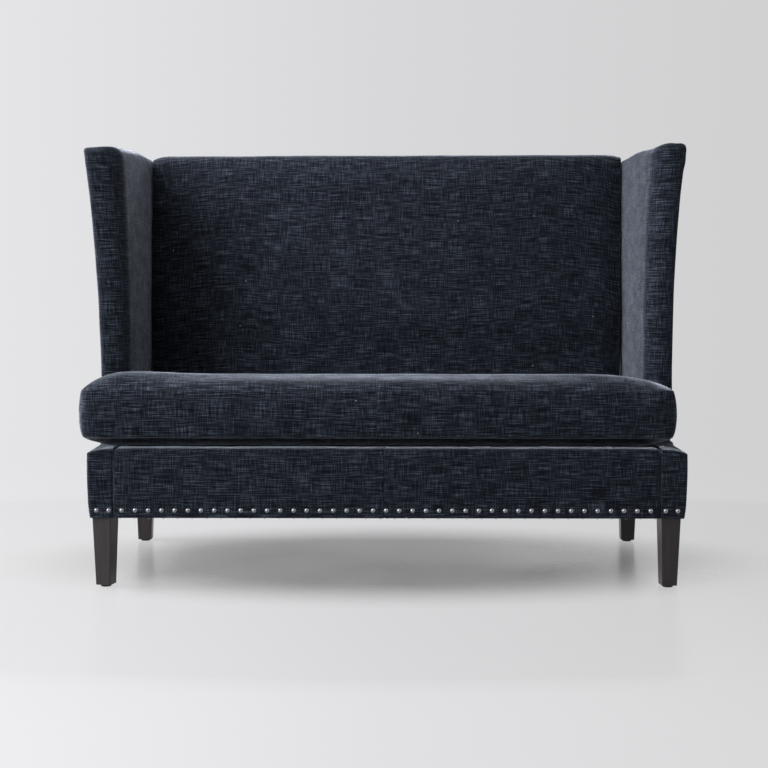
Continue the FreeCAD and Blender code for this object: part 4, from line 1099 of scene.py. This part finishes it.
def makeCushion():
    size = cushion
    pull = size["seamPull"]
    left, right = size["shift"] - size["wide"] + pull, size["shift"] + size["wide"] - pull
    neckLeft, neckRight = size["neckShift"] - size["neck"] + pull, size["neckShift"] + size["neck"] - pull
    nose, ear, rear = size["nose"] + pull, size["earRear"] - pull, size["rear"] - pull
    xs = cushionLines([left, neckLeft, neckRight, right])
    ys = cushionLines([nose, ear, rear])
    firstNeck, lastNeck = xs.index(neckLeft), xs.index(neckRight)
    earRow = ys.index(ear)
    roundings = [
        (left, nose, 1, 1, size["frontRound"]), (right, nose, -1, 1, size["frontRound"]),
        (left, ear, 1, -1, size["rearRound"]), (right, ear, -1, -1, size["rearRound"]),
        (neckLeft, rear, 1, -1, size["rearRound"]), (neckRight, rear, -1, -1, size["rearRound"]),
    ]

    def rounded(x, y):  # squeeze the grid into the outline's round corners
        for cornerX, cornerY, wayX, wayY, radius in roundings:
            a = 1 - (x - cornerX) * wayX / radius
            b = 1 - (y - cornerY) * wayY / radius
            if 0 < a <= 1 and 0 < b <= 1:
                roundA = a * sqrt(1 - b * b / 2)
                roundB = b * sqrt(1 - a * a / 2)
                return cornerX + wayX * radius * (1 - roundA), cornerY + wayY * radius * (1 - roundB)
        return x, y

    def edgeAway(x, y):  # how far inside the outline a spot lies
        if y > ear:
            return min(x - neckLeft, neckRight - x, rear - y)
        away = min(x - left, right - x, y - nose)
        if x < neckLeft or x > neckRight:
            return min(away, ear - y)
        return min(away, sqrt((min(x - neckLeft, neckRight - x)) ** 2 + (ear - y) ** 2), rear - y)

    def tilted(y, level, share):
        return level - share * y * tan(radians(size["tilt"]))

    def shoulder(away, reach):
        return 1 - (1 - clamp(away / reach)) ** size["shoulders"]["power"]

    def nosing(away, reach):
        return sqrt(1 - (1 - clamp(away / reach)) ** 2)

    def topSwell(x, y):  # each edge rounds over in its own reach, so that no ridge shows between them
        reach = size["shoulders"]
        swell = shoulder(x - left, reach["left"]) * shoulder(right - x, reach["right"])
        swell **= reach["sides"]
        swell *= nosing(y - nose, reach["front"]) * shoulder(rear - y, reach["rear"])
        for past in (neckLeft - x, x - neckRight):
            notch = sqrt(max(-past, 0.0) ** 2 + max(ear - y, 0.0) ** 2)
            swell *= shoulder(notch, reach["notch"])
        return swell

    def underSwell(x, y):  # behind a flat lip at the front the underside drops to where it lies on the deck
        lip = size["lip"] * clamp(min(x - left, right - x) / 70.0)
        front = clamp((y - nose - lip) / (size["hollow"] - 0.4 * lip))
        side = clamp(edgeAway(x, max(y, nose + 90.0)) / size["hollow"])
        ahead = 0.07 * min((y - nose) / 40.0, 1.0) + 0.93 * (1 - (1 - front) ** size["hollowPower"])
        return min(ahead, 1 - (1 - side) ** size["hollowPower"])

    def panel(level, rise, share, swell):
        points = {}
        for i, x in enumerate(xs):
            for j, y in enumerate(ys):
                if j <= earRow or firstNeck <= i <= lastNeck:
                    px, py = rounded(x, y)
                    full = swell(x, y)
                    lift = rise * full
                    if rise > 0:  # the crown falls away to the rear, and the left ear is stuffed fuller
                        lift -= size["crownFall"] * max(py - size["crownAt"], 0.0) * full
                        lift += size["earLift"] * ramp(-px, size["earFrom"], size["earFull"]) * full
                    points[i, j] = Vector((px, faceY + py, tilted(py, level + lift, share)))
        return points

    above = size["crown"] - size["seamHigh"]
    below = size["bottom"] - size["seamLow"]
    top = panel(size["seamHigh"], above, 1.0, topSwell)
    under = panel(size["seamLow"], below, 0.15, underSwell)
    middleX = (left + right) / 2
    for (i, j), point in under.items():  # the lower seam is drawn further in than the upper one
        drawn = size["underPull"] * max(1 - edgeAway(xs[i], ys[j]) / 60.0, 0.0)
        point.x -= drawn * min(max((point.x - middleX) / 300.0, -1.0), 1.0)
        point.y -= drawn * min(max((ys[j] - ear) / 120.0, -1.0), 1.0)
    loop = [(i, 0) for i in range(len(xs))]
    loop += [(len(xs) - 1, j) for j in range(1, earRow + 1)]
    loop += [(i, earRow) for i in range(len(xs) - 2, lastNeck - 1, -1)]
    loop += [(lastNeck, j) for j in range(earRow + 1, len(ys))]
    loop += [(i, len(ys) - 1) for i in range(lastNeck - 1, firstNeck - 1, -1)]
    loop += [(firstNeck, j) for j in range(len(ys) - 2, earRow - 1, -1)]
    loop += [(i, earRow) for i in range(firstNeck - 1, -1, -1)]
    loop += [(0, j) for j in range(earRow - 1, 0, -1)]

    points = []
    index = {}
    for name, sheet in (("top", top), ("under", under)):
        for key, point in sheet.items():
            index[name, key] = len(points)
            points.append(point)
    count = len(loop)
    outward = []
    for k, key in enumerate(loop):
        along = top[loop[(k + 1) % count]] - top[loop[k - 1]]
        outward.append(Vector((along.y, -along.x, 0)).normalized())
    rows = [[index["under", key] for key in loop]]
    wallRows = size["wallRows"]
    for n in range(1, wallRows):
        share = n / wallRows
        row = []
        for k, key in enumerate(loop):
            bulge = (pull - 3.0) * (sin(pi * share ** 0.75) ** 0.7)
            spot = under[key].lerp(top[key], share) + outward[k] * bulge
            row.append(len(points))
            points.append(spot)
        rows.append(row)
    rows.append([index["top", key] for key in loop])

    faces = []
    corners = []
    for name, sheet in (("top", top), ("under", under)):
        for i in range(len(xs) - 1):
            for j in range(len(ys) - 1):
                keys = [(i, j), (i + 1, j), (i + 1, j + 1), (i, j + 1)]
                if all(key in sheet for key in keys):
                    faces.append([index[name, key] for key in keys])
                    corners += [(sheet[key].x * mm + 11, sheet[key].y * mm) for key in keys]
    panelFaces = len(faces)
    run = 0.0
    for k in range(count):
        ahead = (k + 1) % count
        length = (top[loop[ahead]] - top[loop[k]]).length
        for n in range(wallRows):
            face = (rows[n][k], rows[n][ahead], rows[n + 1][ahead], rows[n + 1][k])
            faces.append(face)
            runs = (run, run + length, run + length, run)
            corners += [(spot * mm + 13, points[corner].z * mm) for spot, corner in zip(runs, face)]
        run += length
    piece = makePiece("seat_cushion", points, faces, corners, velvet, 180.0)

    seamPoints = rows[0] + rows[-1]
    middle = [index["under", key] for key in under if edgeAway(xs[key[0]], ys[key[1]]) > 20]
    blowUp(piece, seamPoints + middle)
    smoothCushion(piece, set(seamPoints), panelFaces)
    sewCushion(piece)
    seat(piece, "seat_cushion", "velvet", "cushion_cover", "cushion_foam_core", fill=0.85)


makeCushion()
print("cushion made")

# Geometry Nodes for what repeats: nails, springs, staples and the zip's teeth.

def startTree(name, sizes):
    tree = bpy.data.node_groups.new(name, "GeometryNodeTree")
    tree.interface.new_socket(name="Geometry", in_out="INPUT", socket_type="NodeSocketGeometry")
    for label, kind in sizes.items():
        tree.interface.new_socket(name=label, in_out="INPUT", socket_type=kind)
    tree.interface.new_socket(name="Geometry", in_out="OUTPUT", socket_type="NodeSocketGeometry")
    return tree, addNode(tree, "NodeGroupInput")


def endTree(tree, geometry, material):
    real = addNode(tree, "GeometryNodeRealizeInstances", {"Geometry": geometry})
    finished = addNode(tree, "GeometryNodeSetMaterial", {"Geometry": real, "Material": material})
    addNode(tree, "NodeGroupOutput", {"Geometry": finished})


def growPiece(name, data, tree, values, mould=None, smooth=True):
    # run a tree on a starting curve or mesh and keep the plain mesh that it makes
    start = addObject(name + "_start", data)
    modifier = start.modifiers.new("grow", "NODES")
    modifier.node_group = tree
    for item in tree.interface.items_tree:
        if item.in_out == "INPUT" and item.name in values:
            modifier[item.identifier] = values[item.name]
    mesh = plainMesh(start)
    mesh.name = name
    bpy.data.objects.remove(start)
    if mould:  # the single nail, staple or tooth has done its work
        bpy.data.objects.remove(mould)
    if smooth:
        mesh.shade_smooth()
        mesh.set_sharp_from_angle(angle=radians(50))
    return addObject(name, mesh)


def lineCurve(name, runs):  # a curve of straight runs from lists of millimetre points
    curve = bpy.data.curves.new(name, "CURVE")
    curve.dimensions = "3D"
    for run in runs:
        spline = curve.splines.new("POLY")
        spline.points.add(len(run) - 1)
        for spot, point in zip(run, spline.points):
            point.co = (*(Vector(spot) * mm), 1.0)
    return curve


def turned(name, outline, sides):  # a small mesh turned round the Y axis from (radius, depth) points
    points = []
    faces = []
    for radius, depth in outline:
        for n in range(sides):
            angle = 2 * pi * n / sides
            points.append(Vector((radius * cos(angle), depth, radius * sin(angle))))
    for i in range(len(outline) - 1):
        for n in range(sides):
            m = (n + 1) % sides
            faces.append((i * sides + n, i * sides + m, (i + 1) * sides + m, (i + 1) * sides + n))
    faces.append(list(range(sides)))
    faces.append([(len(outline) - 1) * sides + n for n in range(sides)])
    return makePiece(name, points, faces, None, nickel, 40.0)


def makeNails():
    size = nailRow
    bend = (size["radius"] ** 2 + size["dome"] ** 2) / (2 * size["dome"])
    full = asin(size["radius"] / bend)
    turns = [full * n / 7 for n in range(1, 8)]
    outline = [(bend * sin(turn), bend - size["dome"] - bend * cos(turn)) for turn in turns]
    outline.insert(0, (0.35, outline[0][1] - 0.05))
    shank = size["shank"]
    outline += [(size["radius"] - 0.5, 0.35), (shank, 0.35), (shank, size["shankLong"])]
    mould = turned("nail_mould", outline, size["sides"])
    tree, given = startTree("nail_row", {
        "Nail": "NodeSocketObject", "Count": "NodeSocketInt", "First": "NodeSocketVector",
        "Step": "NodeSocketFloat", "Facing Nail": "NodeSocketVector", "Facing Step": "NodeSocketFloat",
        "Seed": "NodeSocketInt",
    })
    row = addNode(tree, "GeometryNodeMeshLine", {
        "Count": given.outputs["Count"], "Start Location": given.outputs["First"],
        "Offset": addNode(tree, "ShaderNodeCombineXYZ", {"X": given.outputs["Step"]}),
    })
    pair = addNode(tree, "GeometryNodeMeshLine", {
        "Count": 2, "Start Location": given.outputs["Facing Nail"],
        "Offset": addNode(tree, "ShaderNodeCombineXYZ", {"X": given.outputs["Facing Step"]}),
    })
    otherPair = addNode(tree, "GeometryNodeTransform", {"Geometry": pair, "Scale": (-1.0, 1.0, 1.0)})
    joined = addNode(tree, "GeometryNodeJoinGeometry")
    for line in (row, pair, otherPair):
        plug(tree, joined, {"Geometry": line})
    lean = addNode(tree, "FunctionNodeRandomValue", {
        "Min": (-size["lean"], -3.1, -size["lean"]), "Max": (size["lean"], 3.1, size["lean"]),
        "Seed": given.outputs["Seed"],
    }, data_type="FLOAT_VECTOR")
    shape = addNode(tree, "GeometryNodeObjectInfo", {"Object": given.outputs["Nail"]})
    placed = addNode(tree, "GeometryNodeInstanceOnPoints", {
        "Points": joined, "Instance": shape.outputs["Geometry"], "Rotation": lean,
    })
    endTree(tree, placed, nickel)
    seatY = faceY + size["seat"]
    near, far = size["facing"]
    piece = growPiece("nails", bpy.data.meshes.new("nail_start"), tree, {
        "Nail": mould, "Count": size["count"], "First": Vector((size["first"], seatY, size["level"])) * mm,
        "Step": size["step"] * mm, "Facing Nail": Vector((near, seatY, size["level"])) * mm,
        "Facing Step": (far - near) * mm, "Seed": 5,
    }, mould)
    seat(piece, "frame", "nickel_nail", "nail_heads")


makeNails()
print("nails made")

# Springs: one zigzag wire swept and repeated across the seat.

springs = {
    "count": 10,
    "step": 125.0,
    "turns": 24,
    "front": 33.0,
    "rear": 688.0,
    "barHalf": 14.0,
    "level": 303.0,
    "wire": 1.9,
    "arcSteps": 5,
}


def makeSprings():
    size = springs
    pitch = (size["rear"] - size["front"]) / size["turns"]
    first = -(size["count"] - 1) / 2 * size["step"]
    spots = []
    for turn in range(size["turns"] + 1):
        way = 1 if turn % 2 == 0 else -1
        y = faceY + size["front"] + turn * pitch
        spots.append(Vector((first - way * size["barHalf"], y, size["level"])))
        for n in range(size["arcSteps"] + 1 if turn < size["turns"] else 1):
            angle = pi * n / size["arcSteps"]
            x = first + way * (size["barHalf"] + pitch / 2 * sin(angle))
            spots.append(Vector((x, y + pitch / 2 * (1 - cos(angle)), size["level"])))
    tree, given = startTree("zigzag_springs", {
        "Wire Radius": "NodeSocketFloat", "Springs": "NodeSocketInt", "Spacing": "NodeSocketFloat",
    })
    section = addNode(tree, "GeometryNodeCurvePrimitiveCircle", {
        "Resolution": 7, "Radius": given.outputs["Wire Radius"],
    })
    swept = addNode(tree, "GeometryNodeCurveToMesh", {
        "Curve": given.outputs["Geometry"], "Profile Curve": section, "Fill Caps": True,
    })
    row = addNode(tree, "GeometryNodeMeshLine", {
        "Count": given.outputs["Springs"],
        "Offset": addNode(tree, "ShaderNodeCombineXYZ", {"X": given.outputs["Spacing"]}),
    })
    placed = addNode(tree, "GeometryNodeInstanceOnPoints", {"Points": row, "Instance": swept})
    endTree(tree, placed, springWire)
    piece = growPiece("zigzag_springs", lineCurve("spring_line", [spots]), tree, {
        "Wire Radius": size["wire"] * mm, "Springs": size["count"], "Spacing": size["step"] * mm,
    })
    seat(piece, "frame", "spring_steel", "seat_springs")


# Flat cloths and webs, each a little uneven.

def makeSheet(name, low, high, thick, material, step, sag, seed, keep=None):
    # a thin closed cloth between two corners; keep(x, y) says which cells stay
    columns, rows = round((high.x - low.x) / step), round((high.y - low.y) / step)
    xs = [low.x + (high.x - low.x) * n / columns for n in range(columns + 1)]
    ys = [low.y + (high.y - low.y) * n / rows for n in range(rows + 1)]
    points = []
    for x in xs:
        for y in ys:
            inside = min(x - low.x, high.x - x, y - low.y, high.y - y)
            wave = 0.35 * uneven(Vector((x, y, 0)), 70.0, seed) * ramp(inside, 0, 30)
            points.append(Vector((x, y, high.z - (sag * ramp(inside, 0, 160) + wave))))
    faces = []
    for i in range(len(xs) - 1):
        for j in range(len(ys) - 1):
            if keep is None or keep((xs[i] + xs[i + 1]) / 2, (ys[j] + ys[j + 1]) / 2):
                base = i * len(ys) + j
                faces.append((base, base + len(ys), base + len(ys) + 1, base + 1))
    used = sorted({corner for face in faces for corner in face})
    number = {old: new for new, old in enumerate(used)}
    points = [points[old] for old in used]
    faces = [[number[corner] for corner in face] for face in faces]
    corners = [(points[corner].x * mm, points[corner].y * mm) for face in faces for corner in face]
    piece = makePiece(name, points, faces, corners, material)
    if piece.data.polygons[0].normal.z < 0:
        piece.data.flip_normals()
    wall = piece.modifiers.new("thickness", "SOLIDIFY")
    wall.thickness = thick * mm
    wall.offset = -1.0
    return piece


dustCover = {
    "thick": 0.9,
    "step": 12.0,
    "sag": 2.5,
    "notch": 31.0,
    "legX": 664.0,
    "legFront": 38.0,
    "legRear": 658.0,
}


def clearOfLegs(x, y):
    legs = (dustCover["legFront"], dustCover["legRear"])
    return not any(abs(abs(x) - dustCover["legX"]) < dustCover["notch"]
                   and abs(y - faceY - deep) < dustCover["notch"] for deep in legs)


def makeDustCover():
    low, high = nodeBox("dust_cover")
    piece = makeSheet("dust_cloth", low, high, dustCover["thick"], dustCloth, dustCover["step"],
                      dustCover["sag"], 61, clearOfLegs)
    seat(piece, "frame", "dust_cloth", "dust_cover")


deck = {
    "step": 22.0,
    "hessian": 0.8,
    "cloth": 1.2,
}


def makeDeck():
    low, high = nodeBox("spring_hessian")
    hessian = makeSheet("hessian_cloth", low, high, deck["hessian"], jute, deck["step"], 0.0, 62)
    seat(hessian, "frame", "jute", "spring_hessian")
    low, high = nodeBox("seat_deck_cloth")
    cloth = makeSheet("deck_cloth", low, high, deck["cloth"], deckLining, deck["step"], 0.0, 63)
    seat(cloth, "frame", "deck_cloth", "seat_deck_cloth")
    low, high = nodeBox("seat_deck_pad")
    rings = []
    for inset, level in ((2.5, low.z), (0.5, low.z + 2.5), (0.0, low.z + 7), (0.0, high.z - 8),
                         (0.8, high.z - 3), (3.0, high.z - 0.4)):
        outline = roundedPath([
            (low.x + inset, low.y + inset, 12.0, 4, 60), (high.x - inset, low.y + inset, 12.0, 4, 30),
            (high.x - inset, high.y - inset, 12.0, 4, 60), (low.x + inset, high.y - inset, 12.0, 4, 30),
        ])
        rings.append([Vector((x, y, level)) for x, y in outline])
    pad = loft("deck_padding", rings, padFoam)
    seat(pad, "frame", "foam", "seat_deck_pad", fill=1.0)


webbing = {
    "count": 8,
    "step": 150.0,
    "wide": 50.0,
    "thick": 1.4,
    "low": 336.0,
    "high": 1009.0,
    "behind": 36.1,
    "slack": 1.2,
    "rows": 44,
}


def makeWebbing():
    # strips a little slack of each other, tacked to the rails above and below
    size = webbing
    points = []
    faces = []
    for number in range(size["count"]):
        middle = (number - (size["count"] - 1) / 2) * size["step"]
        start = len(points)
        for n in range(size["rows"] + 1):
            level = size["low"] + (size["high"] - size["low"]) * n / size["rows"]
            belly = sin(pi * n / size["rows"])
            slack = size["slack"] * belly * (1 + 0.5 * uneven(Vector((middle, 0, level)), 90.0, 71))
            narrow = size["wide"] / 2 - 0.6 * belly
            front = rearY(level, size["behind"] + size["thick"]) + 0.4 + slack
            rear = front + size["thick"] - 0.4
            for x, y in ((-narrow, front), (narrow, front), (narrow, rear), (-narrow, rear)):
                points.append(Vector((middle + x, y, level)))
        for n in range(size["rows"]):
            for k in range(4):
                a, b = start + 4 * n + k, start + 4 * n + (k + 1) % 4
                faces.append((a, b, b + 4, a + 4))
        faces.append([start + k for k in range(4)])
        faces.append([start + 4 * size["rows"] + k for k in range(4)])
    piece = makePiece("back_webbing_strips", points, faces, None, juteUpright)
    seat(piece, "frame", "jute", "back_webbing")


staples = {
    "every": 34.0,
    "wide": 10.0,
    "wire": 0.6,
    "inset": 6.0,
    "point": 3.0,
    "lean": 0.25,
}


def makeStaples():
    # fine staples all round the dust cloth, spaced by a tree along its edge
    low, high = nodeBox("dust_cover")
    half, point = staples["wide"] / 2, staples["point"]
    outline = [(-half, 0, point), (-half, 0, -0.3), (half, 0, -0.3), (half, 0, point)]
    mould = addObject("staple_mould", lineCurve("staple_line", [outline]))
    inset = staples["inset"]
    out = dustCover["notch"] + 4
    leg = dustCover["legX"] - out
    frontLeg, rearLeg = faceY + dustCover["legFront"] + out, faceY + dustCover["legRear"] - out
    level = low.z - 0.4
    edges = [[(-leg, y, level), (leg, y, level)] for y in (low.y + inset, high.y - inset)]
    edges += [[(x, frontLeg, level), (x, rearLeg, level)] for x in (low.x + inset, high.x - inset)]
    tree, given = startTree("staple_row", {
        "Staple": "NodeSocketObject", "Spacing": "NodeSocketFloat", "Wire Radius": "NodeSocketFloat",
        "Seed": "NodeSocketInt",
    })
    spread = addNode(tree, "GeometryNodeCurveToPoints", {
        "Curve": given.outputs["Geometry"], "Length": given.outputs["Spacing"],
    }, mode="LENGTH")
    section = addNode(tree, "GeometryNodeCurvePrimitiveCircle", {
        "Resolution": 5, "Radius": given.outputs["Wire Radius"],
    })
    shape = addNode(tree, "GeometryNodeObjectInfo", {"Object": given.outputs["Staple"]})
    swept = addNode(tree, "GeometryNodeCurveToMesh", {
        "Curve": shape.outputs["Geometry"], "Profile Curve": section, "Fill Caps": True,
    })
    placed = addNode(tree, "GeometryNodeInstanceOnPoints", {
        "Points": spread, "Instance": swept,
        "Rotation": addNode(tree, "FunctionNodeAlignRotationToVector", {"Vector": spread.outputs["Tangent"]}),
    })
    lean = addNode(tree, "FunctionNodeRandomValue", {
        "Min": (0.0, 0.0, -staples["lean"]), "Max": (0.0, 0.0, staples["lean"]),
        "Seed": given.outputs["Seed"],
    }, data_type="FLOAT_VECTOR")
    crooked = addNode(tree, "GeometryNodeRotateInstances", {"Instances": placed, "Rotation": lean})
    endTree(tree, crooked, zinc)
    piece = growPiece("dust_cloth_staples", lineCurve("staple_path", edges), tree, {
        "Staple": mould, "Spacing": staples["every"] * mm, "Wire Radius": staples["wire"] * mm, "Seed": 8,
    }, mould)
    seat(piece, "frame", "zinc_steel")


zipRow = {
    "pitch": 3.2,
    "endRoom": 4.0,
    "stations": 120,
}


def makeZip():
    # woven tape with a row of nylon teeth along its middle
    low, high = nodeBox("cushion_zip")
    rings = []
    back = high.y - 0.9
    for n in range(zipRow["stations"] + 1):
        x = low.x + (high.x - low.x) * n / zipRow["stations"]
        wave = 0.15 * uneven(Vector((x, 0, 0)), 60.0, 81)
        outline = roundedPath([
            (low.y + 0.1, low.z, 0, 0, 1), (back + wave, low.z, 0.3, 2, 6),
            (back + wave, high.z, 0.3, 2, 1), (low.y + 0.1, high.z, 0, 0, 6),
        ])
        rings.append([Vector((x, y, z)) for y, z in outline])
    tape = loft("zip_tape", rings, zipTape, turned=True)
    seat(tape, "seat_cushion", "zip_tape", "cushion_zip")
    tooth = makePiece("tooth_mould", [
        Vector((x, y, z)) for x in (-0.9, 0.9) for y, z in ((0, -2.0), (0.7, -1.3), (0.7, 1.3), (0, 2.0))
    ], [(0, 1, 2, 3), (4, 7, 6, 5), (0, 4, 5, 1), (1, 5, 6, 2), (2, 6, 7, 3), (3, 7, 4, 0)], None, zipNylon)
    tree, given = startTree("zip_teeth", {
        "Tooth": "NodeSocketObject", "Teeth": "NodeSocketInt", "First": "NodeSocketVector",
        "Pitch": "NodeSocketFloat",
    })
    row = addNode(tree, "GeometryNodeMeshLine", {
        "Count": given.outputs["Teeth"], "Start Location": given.outputs["First"],
        "Offset": addNode(tree, "ShaderNodeCombineXYZ", {"X": given.outputs["Pitch"]}),
    })
    shape = addNode(tree, "GeometryNodeObjectInfo", {"Object": given.outputs["Tooth"]})
    placed = addNode(tree, "GeometryNodeInstanceOnPoints", {
        "Points": row, "Instance": shape.outputs["Geometry"],
    })
    endTree(tree, placed, zipNylon)
    spot = Vector((low.x + zipRow["endRoom"], back, (low.z + high.z) / 2))
    piece = growPiece("zip_teeth", bpy.data.meshes.new("teeth_start"), tree, {
        "Tooth": tooth, "Teeth": int((high.x - low.x) / zipRow["pitch"]) - 2, "First": spot * mm,
        "Pitch": zipRow["pitch"] * mm,
    }, tooth, smooth=False)
    seat(piece, "seat_cushion", "zip_tape", "cushion_zip")


makeSprings()
makeDustCover()
makeDeck()
makeWebbing()
makeStaples()
makeZip()
print("springs, linings and zip made")

# Camera, light and floor.

shot = {
    "place": (-12.23, -3976.66, 752.74),
    "pitch": 0.0748,
    "pan": 0.0012,
    "roll": 0.0016,
    "focal": 1562.0,
    "side": 768.0,
    "sensor": 36.0,
}


def makeCamera():
    pitch, pan, roll = shot["pitch"], shot["pan"], shot["roll"]
    ahead = Vector((sin(pan) * cos(pitch), cos(pan) * cos(pitch), -sin(pitch)))
    right = Vector((cos(pan), -sin(pan), 0.0))
    up = right.cross(ahead)
    turnedRight = right * cos(roll) + up * sin(roll)
    turnedUp = up * cos(roll) - right * sin(roll)
    lens = bpy.data.cameras.new("camera")
    lens.sensor_width = shot["sensor"]
    lens.lens = shot["focal"] * shot["sensor"] / shot["side"]
    camera = addObject("camera", lens)
    turn = Matrix((turnedRight, turnedUp, -ahead)).transposed()
    camera.matrix_world = Matrix.Translation(Vector(shot["place"]) * mm) @ turn.to_4x4()
    bpy.context.scene.camera = camera


lamps = {
    "highLeft": {"place": (-2.0, 0.05, 2.4), "side": 1.2, "power": 98.0},
    "farLeft": {"place": (-3.6, 0.15, 2.4), "side": 1.6, "power": 66.0},
    "lowLeft": {"place": (-2.6, -3.0, 1.5), "side": 1.4, "power": 84.0},
    "front": {"place": (-1.4, -3.2, 3.0), "side": 2.0, "power": 48.0},
    "right": {"place": (3.0, -1.4, 2.0), "side": 1.6, "power": 12.0},
    "overhead": {"place": (-0.2, -0.1, 3.0), "side": 2.4, "power": 9.0},
    "behind": {"place": (1.4, 3.6, 2.4), "side": 2.0, "power": 50.0},
}
lampAim = Vector((0.0, 0.0, 0.5))


def makeLamps():
    for name, look in lamps.items():
        light = bpy.data.lights.new(name, "AREA")
        light.size = look["side"]
        light.energy = look["power"]
        turn = (lampAim - Vector(look["place"])).to_track_quat("-Z", "Y").to_matrix()
        lamp = addObject(name, light)
        lamp.matrix_world = Matrix.Translation(look["place"]) @ turn.to_4x4()


backdrop = {
    # left, middle and right are painted light on the backdrop, lighter where the lamps on the left fall on
    # it; lowGain paints the floor brighter low down
    "left": "e7e7e9",
    "middle": "d8d8da",
    "right": "cfcfd0",
    "spread": 0.28,
    "lowFrom": -0.12,
    "lowTo": -0.28,
    "lowGain": 1.1,
    "ambient": "f3f6fb",
    "ambientLeft": 0.04,
    "ambientRight": 0.03,
    "floor": "858483",
    "floorLift": (0.1, 0.9),
    "floorUnder": (0.26, 0.6),
    "floorFar": (0.6, 1.3),
    "floorNarrow": 0.56,
    "floorRadius": 9.0,
}


def plainView(tree):  # 1 where the camera, or a reflection, looks straight at the backdrop
    ray = addNode(tree, "ShaderNodeLightPath")
    seen = 0.0
    for way in ("Is Camera Ray", "Is Glossy Ray", "Is Transmission Ray"):
        seen = addNode(tree, "ShaderNodeMath", {0: seen, 1: ray.outputs[way]}, operation="MAXIMUM")
    return seen


def makeWorld():
    # a pale backdrop with painted light on it, lighter to the left and brighter low down where the floor
    # shows, and dim light from all round that is a little stronger from the left
    world = bpy.data.worlds.new("studio")
    world.use_nodes = True
    tree = world.node_tree
    tree.nodes.clear()
    toward = addNode(tree, "ShaderNodeSeparateXYZ", {
        "Vector": addNode(tree, "ShaderNodeTexCoord").outputs["Generated"],
    })
    spread = toward.outputs["X"]
    # painted light: the backdrop is brighter low down, where the floor in front of the settee shows
    gain = addNode(tree, "ShaderNodeMapRange", {
        "Value": toward.outputs["Z"], "From Min": backdrop["lowFrom"], "From Max": backdrop["lowTo"],
        "To Min": 1.0, "To Max": backdrop["lowGain"],
    })
    share = addNode(tree, "ShaderNodeMapRange", {
        "Value": spread, "From Min": -backdrop["spread"], "From Max": backdrop["spread"],
    })
    # painted light: the backdrop is lighter to the left, where the lamps stand
    colour = addNode(tree, "ShaderNodeValToRGB", {"Fac": share}, [
        (0.0, backdrop["left"]), (0.5, backdrop["middle"]), (1.0, backdrop["right"]),
    ])
    strength = addNode(tree, "ShaderNodeMapRange", {
        "Value": spread, "From Min": -0.9, "From Max": 0.9, "To Min": backdrop["ambientLeft"],
        "To Max": backdrop["ambientRight"],
    })
    shown = addNode(tree, "ShaderNodeBackground", {"Color": colour, "Strength": gain})
    ambient = addNode(tree, "ShaderNodeBackground", {
        "Color": linear(backdrop["ambient"]), "Strength": strength,
    })
    mixed = addNode(tree, "ShaderNodeMixShader", {"Fac": plainView(tree), 1: ambient, 2: shown})
    addNode(tree, "ShaderNodeOutputWorld", {"Surface": mixed})
    bpy.context.scene.world = world


def makeFloor():
    # smooth painted floor that keeps the shadow near the settee and fades out into the backdrop
    material, tree, shader = startFinish("painted_floor", {
        "Base Color": linear(backdrop["floor"]), "Specular IOR Level": 0.5,
    })
    spot = addNode(tree, "ShaderNodeTexCoord").outputs["Object"]
    smudge = addNode(tree, "ShaderNodeTexNoise", {"Vector": spot, "Scale": 3.5, "Detail": 5.0})
    plug(tree, shader, {
        "Roughness": addNode(tree, "ShaderNodeMapRange", {"Value": smudge, "To Min": 0.14, "To Max": 0.34}),
    })
    drawnIn = addNode(tree, "ShaderNodeMapping", {
        "Vector": spot, "Scale": (backdrop["floorNarrow"], 1.0, 1.0),
    })
    reach = addNode(tree, "ShaderNodeVectorMath", {0: drawnIn}, operation="LENGTH")
    beside, beyond = [addNode(tree, "ShaderNodeMapRange", {
        "Value": reach, "From Min": near, "From Max": past, "To Min": low, "To Max": high,
    }, interpolation_type="SMOOTHSTEP") for (near, past), (low, high) in (
        (backdrop["floorUnder"], backdrop["floorLift"]), (backdrop["floorFar"], (0.0, 1.0)),
    )]
    far = addNode(tree, "ShaderNodeMath", {0: beside, 1: beyond}, operation="MAXIMUM")
    fade = addNode(tree, "ShaderNodeMath", {0: far, 1: plainView(tree)}, operation="MULTIPLY")
    clear = addNode(tree, "ShaderNodeBsdfTransparent")
    output = next(node for node in tree.nodes if node.type == "OUTPUT_MATERIAL")
    plug(tree, output, {
        "Surface": addNode(tree, "ShaderNodeMixShader", {"Fac": fade, 1: shader, 2: clear}),
    })
    turns = [2 * pi * n / 64 for n in range(64)]
    points = [Vector((cos(turn), sin(turn), 0)) * backdrop["floorRadius"] / mm for turn in turns]
    floor = makePiece("studio_floor", points, [list(range(64))], None, material)


makeCamera()
makeLamps()
makeWorld()
makeFloor()
bpy.context.scene.view_settings.view_transform = "Standard"
print("camera, light and floor set")
